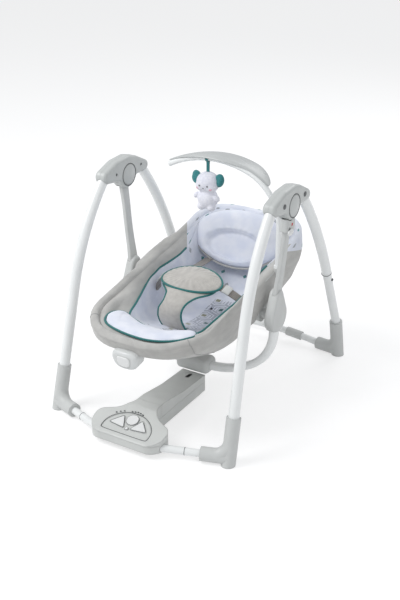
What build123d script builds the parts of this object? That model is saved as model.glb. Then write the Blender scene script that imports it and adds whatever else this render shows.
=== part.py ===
"""Portable baby swing: folding A-frame, docking base, swing arms, reclining seat and toy bar.

Frame: +X across the swing, +Y towards the head end, +Z up, origin on the floor under the
middle of the bounding box. One STEP file is written for each separate piece.
"""
from build123d import *
import math
import os

# ---------------------------------------------------------------- driving dimensions (mm)
running_gap = 0.05           # radial play of a pin or shaft in its bore
seat_gap = 0.3               # space left between pieces that only rest together
wall = 2.5                   # moulded shell wall

# hubs, seen from the side: distances are from the swing axis
hub_y = 14.0
hub_z = 574.0
hub_x = 246.0
hub_thickness = 36.0
hub_nose = (-90.0, 14.0, 18.0)
hub_shoulder = (-42.0, 19.0, 29.0)
hub_crown = (2.0, 19.0, 32.0)
hub_back = (30.0, 17.0, 27.0)
hub_tail = (80.0, 6.0, 15.0)
hub_ring_r = 37.0
hub_edge_r = 9.0
hub_cap_r = 29.5
hub_cap_height = 3.5
axle_r = 6.0
leg_pin_reach = 57.0         # leg pins, ahead of and behind the swing axis
leg_pin_rise = 14.0
leg_pin_r = 4.0
leg_pin_head_r = 6.5
tab_play = 1.2               # space each side of a leg tab in the hub

leg_tube_r = 14.0
leg_tube_wall = 1.5
leg_tab = 5.0                # flattened and drilled end of each leg tube
lower_tube_r = 12.4
lower_tube_overlap = 60.0
front_knee = (-228.0, 330.0)      # end of the straight run: from the swing axis, from the floor
front_slope = 75.5
front_bend_r = 597.0
front_top_slope = 47.0
rear_knee = (250.0, 303.0)
rear_slope = 66.7
rear_bend_r = 1028.0
rear_top_slope = 49.1
leg_splay = 1.6             # degrees that each leg leans out on its way down
leg_start_z = 34.0
rear_leg_end_z = 104.0
snap_button_drop = 22.0      # snap button, below the rim of the upper rear tube
snap_button_r = 4.0
snap_travel = 3.0

foot_r = 18.5
foot_top_z = 118.0
foot_elbow_r = 42.0
foot_toe_x = 194.0
foot_sole_r = 4.0
bar_r = 10.0
bar_wall = 1.5
bar_insert = 30.0            # length of a floor bar inside a foot
rear_heel_reach = 349.0
bar_end_x = 94.0             # inner end of a front bar tube, inside the console
bar_end_reach = -368.0
bar_end_z = 23.0
rear_toe_reach = 357.0
rear_bar_reach = 361.5       # middle of the rear bar
rear_bar_rise = 14.0
rear_sleeve_x = 115.0
rear_sleeve_length = 50.0
rear_sleeve_r = 13.5

rear_fold = 30.0             # degrees that the rear frame folds forward
fold_play = 8.0              # degrees of slot beyond the folded place
fold_room = 2.0              # round the rear leg, all the way through its turn
wheel_x = 236.0              # drive in the right hub
wheel_r = 17.5
wheel_thickness = 7.0
wheel_teeth = 24
worm_r = 4.5
worm_shaft_r = 1.5
worm_end = 14.0
motor_reach = -28.0
motor_length = 19.0
motor_width = 11.0
motor_height = 15.0

arm_thickness = 13.0
arm_slot_half = 25.0
arm_top_x = 249.0
arm_boss_r = 19.0
arm_shoulder_width = 46.0
arm_shoulder_thickness = 24.0
arm_shoulder_drop = 66.0     # lower end of the shoulder, below the swing axis
housing_x = 223.0            # middle plane of the recline housings
housing_r = 43.0
housing_neck_r = 19.0
housing_neck_rise = 58.0
housing_thickness = 28.0
pivot_z = 264.0              # recline axis, straight under the swing axis at rest
pivot_r = 9.0

under_tube_width = 32.0
under_tube_height = 22.0
under_tube_wall = 2.0
under_tube_z = 83.0
under_tube_shift = -32.0     # lowest run, ahead of the swing axis
under_tube_end_x = 224.0
under_tube_knee_z = 150.0
under_tube_flat_x = 110.0
under_tube_bend_r = 110.0
under_tube_sweep_r = 240.0
bracket_edge_r = 14.0
release_button_r = 5.5
release_button_reach = -12.0
release_button_drop = 60.0
release_travel = 2.5
lock_mark_reach = 2.0
lock_mark_drop = 50.0
lock_mark_width = 9.0
lock_mark_height = 7.0
arm_stations = (              # share of the way from swing axis to recline axis, middle across, width
    (0.026, 249.0, 30.0),
    (0.106, 248.0, 30.0),
    (0.306, 241.0, 26.0),
    (0.487, 236.0, 26.0),
    (0.671, 229.0, 29.0),
    (0.803, 225.0, 36.0),
    (0.945, 223.0, 44.0),
)
shoulder_gap = 1.2            # between the arm's shoulder and the hub's ring
same_place = 0.01             # two coordinates this close count as one
arm_edge_r = 4.0
bracket_length = 104.0
bracket_width = 56.0
bracket_height = 42.0

seat_tilt = 9.6
rim_rise = 87.0              # rim plane above the recline axis, square to the rim
head_rise = 25.0             # extra rise of the rim at the head end
rim_half_width = 172.0
rim_foot = -355.0
rim_head = 345.0
seat_wall = 20.0
frame_tube_r = 6.0
frame_tube_drop = 16.0       # frame tube, below the rim plane
liner_thickness = 9.0
shell_sections = (            # rise from the recline axis, foot end, head end, half width
    (112.0, -362.0, 352.0, 171.0),
    (50.0, -345.0, 338.0, 175.0),
    (18.0, -300.0, 325.0, 171.0),
    (-22.0, -235.0, 305.0, 160.0),
    (-40.0, -200.0, 290.0, 150.0),
    (-70.0, -125.0, 250.0, 125.0),
    (-95.0, -80.0, 150.0, 80.0),
    (-105.0, -40.0, 110.0, 50.0),
)
shell_foot_r = 140.0
shell_head_r = 95.0
foot_roundness = 0.8         # largest corner radius at the foot, as a share of the half width
head_roundness = 0.55
rim_turn_v = 170.0           # the rim starts to climb towards the head end here
side_plate_x = 181.0
side_plate_thickness = 9.0
side_plate_r = 24.0
stud_r = 7.0
stud_v = (30.0, 92.0)
post_lug_height = 30.0
post_lug_r = 11.5
pillow_v = 255.0
pillow_n = 14.0
pillow_lean = 53.0
pillow_half_width = 98.0
pillow_half_length = 62.0
pillow_thickness = 28.0
pad_v = -43.0
pad_half_width = 79.0
pad_half_length = 52.0
pad_thickness = 22.0
pad_neck_width = 62.0
crotch_v = -148.0
crotch_n = -38.0
strap_width = 26.0
strap_thickness = 2.4
strap_wall_x = 137.0
strap_wall_n = 22.0
vibration_x = -15.0
vibration_width = 76.0
vibration_height = 50.0
vibration_depth = 34.0
vibration_v = -340.0
vibration_n = 42.0
vibration_button_r = 13.0

overall_reach = 400.0        # half the floor length, rounded up
console_half_width = 108.0
console_front = -400.0
console_cheek_end = -336.0
console_bottom_z = 14.0
console_front_z = 38.0
console_corner_r = 44.0
console_neck_reach = -306.0
console_neck_r = 60.0
spine_knee_reach = -150.0
spine_knee_z = 58.5
spine_half_width = 36.0
spine_start = -264.0
spine_end = -40.0
spine_bottom_z = 6.0
spine_top_z = 54.5
parting_z = 35.0
panel_reach = -360.0
panel_tilt = 18.0
ramp_length = 105.0
panel_recess = 1.2
panel_thickness = 2.4
panel_half_width = 69.0
panel_front = -28.0
panel_back = 42.0
panel_shoulder = -5.0
key_r = 16.0
key_row = 19.5
small_key_r = 4.0
small_key_row = -10.0
side_key_corners = ((-54.0, -4.0), (-10.0, -9.0), (-28.0, 24.0))
board_post_x = 20.0
board_post_y = -14.0
lamp_r = 1.3
lamp_places = ((-55.0, 28.0), (-46.0, 34.0), (-37.0, 39.0), (-16.0, 44.0), (-8.0, 46.0),
               (0.0, 47.0), (8.0, 46.0), (16.0, 44.0))
battery_r = 13.0
battery_length = 50.0
battery_reach = -195.0
door_margin = 6.0
dock_slot_reach = -70.0
dock_slot_length = 26.0
dock_slot_width = 11.0
button_travel = 1.5
button_gap = 0.35
button_flange = 1.2
button_height = 1.8
board_thickness = 1.6

post_x = 188.0
post_reach = 74.0
toy_arch_r = 290.0
toy_arch_z = 632.0
toy_arch_x = -10.0
toy_arch_turn = 20.0         # degrees from the top of the arch to the tighter bend
toy_tip_turn = 28.0
toy_bar_r = 7.5
toy_x = -26.0
post_bottom_z = 342.0
post_collar_r = 10.5
post_collar_height = 6.0
canopy_thickness = 5.0
canopy_half_depth = 37.0
canopy_lip = 1.0
canopy_shift = 4.0
canopy_tail_x = 156.0
ribbon_width = 9.0
ribbon_thickness = 1.2
ribbon_drop = 27.0
toy_head_half = (30.0, 26.0, 27.0)
toy_body_half = (26.0, 22.0, 27.0)
toy_ear_r = 11.0
toy_ear_x = 33.0
toy_ear_rise = 7.0
toy_foot_r = 9.0
toy_foot_x = 14.0
toy_hand_x = 25.0
toy_hand_r = 8.0

parts = {}


def keep(name, shape):
    """Store one named piece."""
    parts[name] = shape


def keep_pair(name, right_piece):
    """Store a piece for the right side and its mirror image for the left."""
    keep(name + "_right", right_piece)
    keep(name + "_left", mirror(right_piece, about=Plane.YZ))


def at(x, reach, z):
    """A point given by its reach ahead of (-) or behind (+) the swing axis."""
    return (x, hub_y + reach, z)


def side_plane(x):
    """Plane at x, seen from the right: local x along +Y, local y up, origin on the swing axis."""
    return Plane(origin=(x, hub_y, hub_z), x_dir=(0, 1, 0), z_dir=(1, 0, 0))


def round_bar(path, radius):
    """Solid bar of round section along a path."""
    section = Plane(origin=path @ 0, z_dir=path % 0) * Circle(radius)
    return sweep(section, path=path)


def cross_rod(x_low, x_high, reach, z, radius):
    """Round rod along X between two stations."""
    middle = Pos(*at((x_low + x_high) / 2, reach, z))
    return middle * Rot(0, 90, 0) * Cylinder(radius, abs(x_high - x_low))


def block(x_size, y_size, z_size, centre):
    """Plain box around a centre."""
    return Pos(*centre) * Box(x_size, y_size, z_size)


# ---------------------------------------------------------------- leg lines
def slope_vector(degrees, way):
    """Unit direction that climbs at an angle while heading forward (-1) or back (+1)."""
    return (way * math.cos(math.radians(degrees)), math.sin(math.radians(degrees)))


def leg_line(knee, slope, bend_r, top_slope, way, start_z, cut_back=0.0):
    """Straight run up to the knee, then an arc that leans over to the hub."""
    direction = slope_vector(slope, way)
    drop = (knee[1] - start_z) / direction[1]
    knee_point = (knee[0], knee[1] - hub_z)
    start = (knee_point[0] - drop * direction[0], knee_point[1] - drop * direction[1])
    bend = -way * (slope - top_slope - cut_back)
    run = Line(start, knee_point)
    return run + JernArc(knee_point, direction, bend_r, bend)


def splayed(shape):
    """Lean a leg outwards about the level of the swing axis."""
    pivot = Location((hub_x, 0, hub_z))
    return pivot * Rot(0, -leg_splay, 0) * pivot.inverse() * shape


def leg_floor_x(z):
    """Middle of a leg at a height."""
    return hub_x + (hub_z - z) * math.tan(math.radians(leg_splay))


def flattened_end(path, way):
    """Tab from the tube's top end to the leg pin."""
    top = path @ 1
    eye = Pos(-way * leg_pin_reach, leg_pin_rise) * Circle(leg_pin_r + wall * 2)
    root = Pos(top.X, top.Y) * Circle(leg_tube_r - leg_tube_wall)
    return extrude(make_hull(eye.edges() + root.edges()), leg_tab / 2, both=True)


def leg_tube(knee, slope, bend_r, top_slope, way, start_z):
    """One curved leg tube with its flattened, drilled top end."""
    path = leg_line(knee, slope, bend_r, top_slope, way, start_z)
    closed_length = math.degrees(leg_tube_r / bend_r)
    bore = leg_line(knee, slope, bend_r, top_slope, way, start_z, closed_length)
    tube = round_bar(path, leg_tube_r) - round_bar(bore, leg_tube_r - leg_tube_wall)
    leg = splayed(side_plane(hub_x) * (tube + flattened_end(path, way)))
    reach = -way * leg_pin_reach
    pin_hole = cross_rod(hub_x - leg_tube_r, hub_x + leg_tube_r, reach, hub_z + leg_pin_rise,
                         leg_pin_r + running_gap)
    return leg - pin_hole


def leg_point(knee, slope, way, z):
    """Middle of a leg's straight run at a height: (x, reach, z)."""
    direction = slope_vector(slope, way)
    return (leg_floor_x(z), knee[0] - (knee[1] - z) * direction[0] / direction[1], z)


front_shape = (front_knee, front_slope, front_bend_r, front_top_slope)
rear_shape = (rear_knee, rear_slope, rear_bend_r, rear_top_slope)
rear_rim_z = rear_knee[1] - wall

front_leg = leg_tube(*front_shape, 1, leg_start_z)
rear_leg_upper = leg_tube(*rear_shape, -1, rear_rim_z)


# ---------------------------------------------------------------- hubs
def hub_outline(inset):
    """Side view of a hub: a long crown over a round ring, drawn in by an inset."""
    lobes = (hub_nose, hub_shoulder, hub_crown, hub_back, hub_tail)
    rims = ShapeList()
    for reach, rise, radius in lobes:
        rims += (Pos(reach, rise) * Circle(radius - inset)).edges()
    outline = make_hull(rims) + Circle(hub_ring_r - inset)
    blend = hub_edge_r + wall
    return offset(offset(outline, blend, kind=Kind.ARC), -blend, kind=Kind.ARC)


def hub_body(inset, edge_r):
    """Closed hub form, drawn in by an inset on every side."""
    half = hub_thickness / 2 - inset
    body = side_plane(hub_x) * extrude(hub_outline(inset), half, both=True)
    rims = body.edges().filter_by(lambda e: abs(abs(e.center().X - hub_x) - half) < same_place)
    return fillet(rims, edge_r)


hub_outside = hub_body(0.0, hub_edge_r)
hub_inside = hub_body(wall, hub_edge_r - wall)


def hub_half(outward):
    """Moulded half shell of the right hub with its bosses: +1 for the outer half, -1 inner."""
    half_space = Pos(hub_x + outward * hub_thickness / 2, hub_y, hub_z)
    half_space *= Box(hub_thickness, 4 * hub_thickness + 4 * leg_pin_reach, 4 * hub_thickness)
    shell = (hub_outside - hub_inside) & half_space
    floor_x = hub_x + outward * (hub_thickness / 2 - wall)
    tab_face = hub_x + outward * (leg_tab / 2 + tab_play)
    for way in (-1, 1):
        shell += cross_rod(floor_x, tab_face, way * leg_pin_reach, hub_z + leg_pin_rise,
                           leg_pin_r + 2 * wall)
    if outward > 0:
        boss_face = arm_top_x + arm_thickness / 2 + seat_gap
    else:
        boss_face = wheel_x - wheel_thickness / 2 - seat_gap
    shell += cross_rod(floor_x, boss_face, 0, hub_z, axle_r + wall)
    for way in (-1, 1):
        shell -= cross_rod(hub_x - hub_thickness, hub_x + hub_thickness, way * leg_pin_reach,
                           hub_z + leg_pin_rise, leg_pin_r + running_gap)
    shell -= cross_rod(hub_x - hub_thickness, hub_x + hub_thickness, 0, hub_z,
                       axle_r + running_gap)
    return shell - front_leg_way - rear_leg_way - arm_way


def fold_slot():
    """Slot in the tail of a hub that the rear leg turns through as the frame folds."""
    pin = (leg_pin_reach, leg_pin_rise)
    way = leg_line(*rear_shape, -1, rear_rim_z)
    rims = ShapeList()
    for end in (way @ 1, way @ 0.85, way @ 0.7, way @ 0.55):
        for fold in (0.0, -rear_fold / 2, -rear_fold - fold_play):
            turn = math.radians(fold)
            du = end.X - pin[0]
            dw = end.Y - pin[1]
            spot = (pin[0] + du * math.cos(turn) - dw * math.sin(turn),
                    pin[1] + du * math.sin(turn) + dw * math.cos(turn))
            rims += (Pos(*spot) * Circle(leg_tube_r + fold_room)).edges()
    half = hub_thickness / 2 - wall - running_gap
    return side_plane(hub_x) * extrude(make_hull(rims), half, both=True)


front_leg_way = splayed(side_plane(hub_x) * round_bar(leg_line(*front_shape, 1, leg_start_z),
                                                      leg_tube_r + seat_gap))
rear_leg_way = fold_slot()
arm_way_depth = arm_boss_r + wall
arm_way = Pos(arm_top_x, hub_y, hub_z - hub_ring_r) * Box(arm_thickness + 2 * wall,
                                                           2 * arm_slot_half, arm_way_depth)
hub_outer = hub_half(1)
hub_inner = hub_half(-1)

# geared drive in the right hub
worm_z = hub_z + wheel_r + worm_r + 2 * seat_gap
wheel = cross_rod(wheel_x - wheel_thickness / 2, wheel_x + wheel_thickness / 2, 0, hub_z, wheel_r)
wheel -= cross_rod(wheel_x - wheel_thickness, wheel_x + wheel_thickness, 0, hub_z,
                   axle_r + running_gap)
for tooth in range(wheel_teeth):
    angle = 360.0 / wheel_teeth * tooth
    notch = Rot(angle, 0, 0) * Pos(0, 0, wheel_r) * Box(2 * wheel_thickness, wall / 2, wall / 2)
    wheel -= Pos(wheel_x, hub_y, hub_z) * notch
keep("worm_wheel", wheel)


def along_drive(reach_low, reach_high, radius):
    """Round piece on the worm's axis."""
    return round_bar(Line(at(wheel_x, reach_low, worm_z), at(wheel_x, reach_high, worm_z)), radius)


worm = along_drive(motor_reach + seat_gap, worm_end - wall, worm_r)
worm += along_drive(motor_reach - 2 * wall, worm_end + wall, worm_shaft_r)
keep("worm_shaft", worm)
motor_seat = hub_x - hub_thickness / 2 + wall
motor = Pos(motor_seat + motor_width / 2, hub_y + motor_reach - motor_length / 2, worm_z)
motor *= Box(motor_width, motor_length, motor_height)
motor -= along_drive(motor_reach - 3 * wall, motor_reach + wall, worm_shaft_r + running_gap)
keep("drive_motor", motor)
bearing_width = 2 * (wheel_x - motor_seat)
bearing = Pos(motor_seat + bearing_width / 2, hub_y + worm_end + wall / 2, worm_z)
bearing *= Box(bearing_width, wall, 4 * worm_shaft_r + wall)
bearing -= along_drive(worm_end - wall, worm_end + 2 * wall, worm_shaft_r + running_gap)
hub_inner += bearing

keep_pair("hub_outer_shell", hub_outer)
keep_pair("hub_inner_shell", hub_inner)
hub_face = hub_x + hub_thickness / 2
cap_dome_r = (hub_cap_r ** 2 + hub_cap_height ** 2) / (2 * hub_cap_height)
cap = Pos(hub_face + hub_cap_height - cap_dome_r, hub_y, hub_z) * Sphere(cap_dome_r)
cap &= cross_rod(hub_face, hub_face + 2 * hub_cap_height, 0, hub_z, hub_cap_r)
hub_back = hub_x - hub_thickness / 2
back_cap = Pos(hub_back - hub_cap_height + cap_dome_r, hub_y, hub_z) * Sphere(cap_dome_r)
back_cap &= cross_rod(hub_back - 2 * hub_cap_height, hub_back, 0, hub_z, hub_cap_r)
caps = [cap, back_cap, mirror(cap, about=Plane.YZ), mirror(back_cap, about=Plane.YZ)]
keep("hub_caps", Compound([piece.solid() for piece in caps]))
axle = cross_rod(hub_x - hub_thickness / 2 + wall, hub_face - running_gap, 0, hub_z, axle_r)
keep("pivot_axles", axle + mirror(axle, about=Plane.YZ))
pins = Part()
for way in (-1, 1):
    pin = cross_rod(hub_x - hub_thickness / 2 + wall / 2, hub_face, way * leg_pin_reach,
                    hub_z + leg_pin_rise, leg_pin_r)
    pin += cross_rod(hub_face, hub_face + wall / 2, way * leg_pin_reach, hub_z + leg_pin_rise,
                     leg_pin_head_r)
    pins += pin + mirror(pin, about=Plane.YZ)
keep("leg_pins", pins)
keep_pair("front_leg", front_leg)
keep_pair("rear_leg_upper", rear_leg_upper)


# ---------------------------------------------------------------- rear legs below the joint
def rod(start, end, radius):
    """Round rod between two points."""
    return round_bar(Line(start, end), radius)


overlap_turn = math.degrees(lower_tube_overlap / rear_bend_r)
lower_line = (rear_knee, rear_slope, rear_bend_r, rear_slope - overlap_turn)
lower_path = leg_line(*lower_line, -1, rear_leg_end_z)
lower_tube = round_bar(lower_path, lower_tube_r)
lower_tube -= round_bar(lower_path, lower_tube_r - leg_tube_wall)
snap_z = rear_rim_z - snap_button_drop
snap_middle = at(*leg_point(rear_knee, rear_slope, -1, snap_z))
snap_reach = lower_tube_r + snap_travel
snap_hole = cross_rod(snap_middle[0], snap_middle[0] + 2 * lower_tube_r,
                      snap_middle[1] - hub_y, snap_z, snap_button_r + running_gap)
rear_leg_lower = splayed(side_plane(hub_x) * lower_tube) - snap_hole
keep_pair("rear_leg_lower", rear_leg_lower)
snap_button = cross_rod(snap_middle[0] + lower_tube_r - 2 * snap_travel,
                        snap_middle[0] + snap_reach, snap_middle[1] - hub_y, snap_z,
                        snap_button_r)
keep_pair("rear_snap_button", fillet(snap_button.faces().sort_by(Axis.X)[-1].edges(), wall / 2))

# ---------------------------------------------------------------- feet and floor bars
floor_side = 4 * overall_reach


def above_floor(shape):
    """Part of a shape that lies above the floor."""
    return shape & Pos(0, 0, floor_side / 2) * Box(floor_side, floor_side, floor_side)


def foot_boot(shaft_top, corner, toe_end):
    """Boot over the end of a leg, with a toe turned towards the middle."""
    bend = FilletPolyline(shaft_top, corner, toe_end, radius=foot_elbow_r)
    down = (Vector(*corner) - Vector(*shaft_top)).normalized()
    boot = rod(shaft_top, Vector(*corner) + down * foot_r * 1.5, foot_r)
    boot += rod(corner, toe_end, foot_r)
    boot += round_bar(bend, foot_r - running_gap)
    return above_floor(boot)


bar_start = (leg_floor_x(foot_r), leg_point(front_knee, front_slope, 1, foot_r)[1], foot_r)
bar_end = (bar_end_x, bar_end_reach, bar_end_z)


def along(start, end, x):
    """Point of the line between two points at a station across the swing."""
    share = (x - start[0]) / (end[0] - start[0])
    return tuple(start[i] + share * (end[i] - start[i]) for i in range(3))


front_corner = at(*bar_start)
front_toe = at(*along(bar_start, bar_end, foot_toe_x))
front_shaft_top = at(*leg_point(front_knee, front_slope, 1, foot_top_z))
front_foot = foot_boot(front_shaft_top, front_corner, front_toe)
front_foot -= splayed(side_plane(hub_x) * round_bar(leg_line(*front_shape, 1, leg_start_z),
                                                    leg_tube_r + seat_gap / 2))
bar_root_x = foot_toe_x + bar_insert
bar_root = at(*along(bar_start, bar_end, bar_root_x))
bar_tip = at(*bar_end)
front_foot -= rod(bar_root, bar_tip, bar_r + seat_gap / 2)
keep_pair("front_foot", front_foot)
front_bar = rod(bar_root, bar_tip, bar_r) - rod(bar_root, bar_tip, bar_r - bar_wall)
keep("front_bar_tubes", front_bar + mirror(front_bar, about=Plane.YZ))

rear_middle = at(0, rear_bar_reach, foot_r + rear_bar_rise)
rear_toe = at(foot_toe_x, rear_toe_reach, foot_r)
rear_far_toe = at(-foot_toe_x, rear_toe_reach, foot_r)
rear_arc = ThreePointArc(rear_far_toe, rear_middle, rear_toe)
rear_bow = rear_arc.length / 2
insert_share = bar_insert / rear_arc.length


def rear_bar_stretch(low, high, radius):
    """Part of the bowed rear bar between two distances from its middle."""
    low_share = (rear_bow + low) / rear_arc.length
    high_share = (rear_bow + high) / rear_arc.length
    start = rear_arc.position_at(low_share)
    end = rear_arc.position_at(high_share)
    middle = rear_arc.position_at((low_share + high_share) / 2)
    return round_bar(ThreePointArc(start, middle, end), radius)


rear_corner = at(leg_floor_x(foot_r), rear_heel_reach, foot_r)
rear_shaft_top = at(*leg_point(rear_knee, rear_slope, -1, foot_top_z))
rear_foot = foot_boot(rear_shaft_top, rear_corner, rear_toe)
rear_foot -= splayed(side_plane(hub_x) * round_bar(lower_path, lower_tube_r + seat_gap / 2))
rear_bar_span = rear_bow + bar_insert
rear_foot -= rear_bar_stretch(0, rear_bar_span, bar_r + seat_gap / 2)
keep_pair("rear_foot", rear_foot)
rear_side_bar = rear_bar_stretch(rear_sleeve_x, rear_bar_span, bar_r)
rear_side_bar -= rear_bar_stretch(rear_sleeve_x, rear_bar_span, bar_r - bar_wall)
rear_middle_bar = rear_bar_stretch(-rear_sleeve_x, rear_sleeve_x, bar_r)
rear_middle_bar -= rear_bar_stretch(-rear_sleeve_x, rear_sleeve_x, bar_r - bar_wall)
rear_bars = [rear_side_bar, mirror(rear_side_bar, about=Plane.YZ), rear_middle_bar]
keep("rear_bar_tubes", Compound(children=rear_bars))
sleeve_low = rear_sleeve_x - rear_sleeve_length / 2
sleeve_high = rear_sleeve_x + rear_sleeve_length / 2
sleeve = rear_bar_stretch(sleeve_low, sleeve_high, rear_sleeve_r)
sleeve -= rear_bar_stretch(sleeve_low, sleeve_high, bar_r + running_gap)
keep("rear_bar_sleeves", sleeve + mirror(sleeve, about=Plane.YZ))


# ---------------------------------------------------------------- console and spine
def rounded_outline(corners):
    """Face inside a closed outline of (x, y, corner radius) points."""
    points = [(x, y) for x, y, _ in corners]
    return make_face(FilletPolyline(*points, radius=[r for _, _, r in corners], close=True))


def base_plan():
    """Plan of the console and its spine, x across and y from the swing axis."""
    right = [
        (console_half_width, console_front, console_corner_r),
        (console_half_width, console_cheek_end, console_corner_r / 2),
        (spine_half_width, console_neck_reach, console_neck_r),
        (spine_half_width, spine_end, 2 * wall),
    ]
    left = [(-x, y, r) for x, y, r in reversed(right)]
    return rounded_outline(right + left)


ramp_rise = math.tan(math.radians(panel_tilt))
ramp_top_z = console_front_z + ramp_length * ramp_rise


def base_side():
    """Side profile of the console and its spine, from the swing axis and from the floor."""
    return rounded_outline([
        (console_front, console_bottom_z, wall),
        (console_front, console_front_z, 2 * wall),
        (console_front + ramp_length, ramp_top_z, console_neck_r / 2),
        (spine_start + ramp_length / 4, ramp_top_z - wall / 2, console_neck_r),
        (spine_knee_reach, spine_knee_z, console_neck_r),
        (spine_end, spine_top_z, 2 * wall),
        (spine_end, spine_bottom_z, 2 * wall),
        (spine_start, spine_bottom_z, wall),
        (spine_start - console_bottom_z, console_bottom_z, wall),
    ])


def base_body(inset):
    """Closed form of console and spine, drawn in by an inset on every side."""
    plan = base_plan()
    side = base_side()
    if inset:
        plan = offset(plan, -inset, kind=Kind.ARC)
        side = offset(side, -inset, kind=Kind.ARC)
    tall = Pos(0, hub_y, 0) * extrude(plan, 2 * ramp_top_z)
    across = Plane(origin=(0, hub_y, 0), x_dir=(0, 1, 0), z_dir=(1, 0, 0))
    return tall & across * extrude(side, console_half_width + wall, both=True)


def slab(reach_low, reach_high, z_low, z_high):
    """Box across the whole base between two reaches and two heights."""
    size_y = reach_high - reach_low
    middle = at(0, (reach_low + reach_high) / 2, (z_low + z_high) / 2)
    return block(4 * console_half_width, size_y, z_high - z_low, middle)


base_shell = base_body(0.0) - base_body(wall)
console_top = base_shell & slab(2 * console_front, spine_start, parting_z, 2 * ramp_top_z)
spine_cover = base_shell & slab(spine_start, -spine_end, parting_z, 2 * ramp_top_z)
console_base = base_shell & slab(2 * console_front, -spine_end, -parting_z, parting_z)

# seats of the front bar in the ends of the console
front_bar_way = rod(bar_root, bar_tip, bar_r + seat_gap / 2)
front_bar_ways = front_bar_way + mirror(front_bar_way, about=Plane.YZ)
console_top -= front_bar_ways
console_base -= front_bar_ways
cradle_middle = at(bar_end_x + wall, bar_end_reach, (console_bottom_z + bar_end_z) / 2)
cradle_height = bar_end_z - console_bottom_z
cradle = block(2 * wall, 2 * bar_r, cradle_height, cradle_middle)
cradle = cradle + mirror(cradle, about=Plane.YZ) - front_bar_ways
console_base += cradle

# control panel on the ramp
panel_z = console_front_z + (panel_reach - console_front) * ramp_rise
panel_normal = Vector(0, -math.sin(math.radians(panel_tilt)), math.cos(math.radians(panel_tilt)))
panel_plane = Plane(origin=at(0, panel_reach, panel_z), x_dir=(1, 0, 0), z_dir=panel_normal)


def on_panel(face, low, high):
    """Raise a flat face of the panel plane into a plate between two heights."""
    return panel_plane * extrude(Pos(0, 0, low) * face, high - low)


def panel_face(inset):
    """Outline of the panel: straight in front, arched behind."""
    half = panel_half_width - inset
    arch = ThreePointArc((half, panel_shoulder), (0, panel_back - inset), (-half, panel_shoulder))
    front = Polyline((-half, panel_shoulder), (-half, panel_front + inset),
                     (half, panel_front + inset), (half, panel_shoulder))
    face = make_face(front + arch)
    return fillet(face.vertices(), 2 * wall)


round_key = Pos(0, key_row) * Circle(key_r)
side_key = make_face(Polyline(*side_key_corners, close=True)) - Pos(0, key_row) * Circle(key_r + wall)
side_key = fillet(side_key.vertices(), wall)
small_key = Pos(0, small_key_row) * Circle(small_key_r)
keys = {
    "power_button": round_key,
    "volume_button": side_key,
    "mode_button": mirror(side_key, about=Plane.YZ),
    "timer_button": small_key,
}
panel_top = -panel_recess
panel_bottom = panel_top - panel_thickness
panel = on_panel(panel_face(seat_gap), panel_bottom, panel_top)
for name, key in keys.items():
    panel -= on_panel(offset(key, button_gap), 2 * panel_bottom, wall)
    button = on_panel(key, panel_bottom - seat_gap, button_height)
    if name != "timer_button":
        flange = offset(key, button_flange)
        button += on_panel(flange, panel_bottom - seat_gap - button_flange, panel_bottom - seat_gap)
    keep(name, button)
keep("control_panel", panel)
ledge_low = panel_bottom - wall
ledge = on_panel(panel_face(-wall) - panel_face(2 * wall), ledge_low, panel_bottom)
console_top -= on_panel(panel_face(0.0), ledge_low, wall)
console_top += ledge + on_panel(panel_face(-wall) - panel_face(0.0), panel_bottom, -wall)
board_top = panel_bottom - seat_gap - button_flange - button_travel - seat_gap
board_face = panel_face(wall / 2)
board_posts = [(side * (panel_half_width - wall), board_post_y) for side in (-1, 1)]
board_posts += [(side * board_post_x, panel_front + wall) for side in (-1, 1)]
keep("circuit_board", on_panel(board_face, board_top - board_thickness, board_top))
for x, y in board_posts:
    console_top += on_panel(Pos(x, y) * Circle(wall), board_top, panel_bottom)

lamps = Part()
for x, y in lamp_places:
    lamps += on_panel(Pos(x, y) * Circle(lamp_r), -wall, seat_gap)
    console_top -= on_panel(Pos(x, y) * Circle(lamp_r + running_gap), -2 * wall, wall)
keep("indicator_lights", lamps)

# batteries and their door in the underside of the spine
door_reach = (battery_reach - battery_length - door_margin, battery_reach + battery_length + door_margin)
door_half = 2 * battery_r + wall
door_middle = at(0, battery_reach, spine_bottom_z + wall / 2)
door_size = door_reach[1] - door_reach[0]
console_base -= block(2 * door_half, door_size, 2 * wall, door_middle)
keep("battery_door", block(2 * (door_half - seat_gap), door_size - 2 * seat_gap, wall, door_middle))
cells = Part()
for x in (-battery_r - seat_gap, battery_r + seat_gap):
    for way in (-1, 1):
        middle = at(x, battery_reach + way * (battery_length / 2 + seat_gap),
                    spine_bottom_z + wall + battery_r + running_gap)
        cells += Pos(*middle) * Rot(90, 0, 0) * Cylinder(battery_r, battery_length)
keep("batteries", cells)

# dock slot in the spine cover
dock_slot = Pos(*at(0, dock_slot_reach, spine_top_z)) * extrude(
    Rot(0, 0, 90) * SlotOverall(dock_slot_length, dock_slot_width), wall * 2, both=True)
spine_cover -= dock_slot
keep("console_top", console_top)
keep("spine_cover", spine_cover)
keep("console_base", console_base)


# ---------------------------------------------------------------- swing arms and under-tube
def arm_form(extra):
    """Flat arm from the hub down into the recline housing, grown by an extra gap."""
    stations = []
    for share, x, width in arm_stations:
        section = RectangleRounded(arm_thickness + 2 * extra, width + 2 * extra, arm_edge_r + extra)
        stations.append(Pos(*at(x, 0, hub_z - share * (hub_z - pivot_z))) * section)
    return loft(stations)


arm = arm_form(0.0)
boss_low = arm_top_x - arm_thickness / 2
boss_high = arm_top_x + arm_thickness / 2
arm += cross_rod(boss_low, boss_high, 0, hub_z, arm_boss_r)
arm -= cross_rod(boss_low - wall, boss_high + wall, 0, hub_z, axle_r + running_gap)
keep("swing_arm_left", mirror(arm, about=Plane.YZ))

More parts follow.
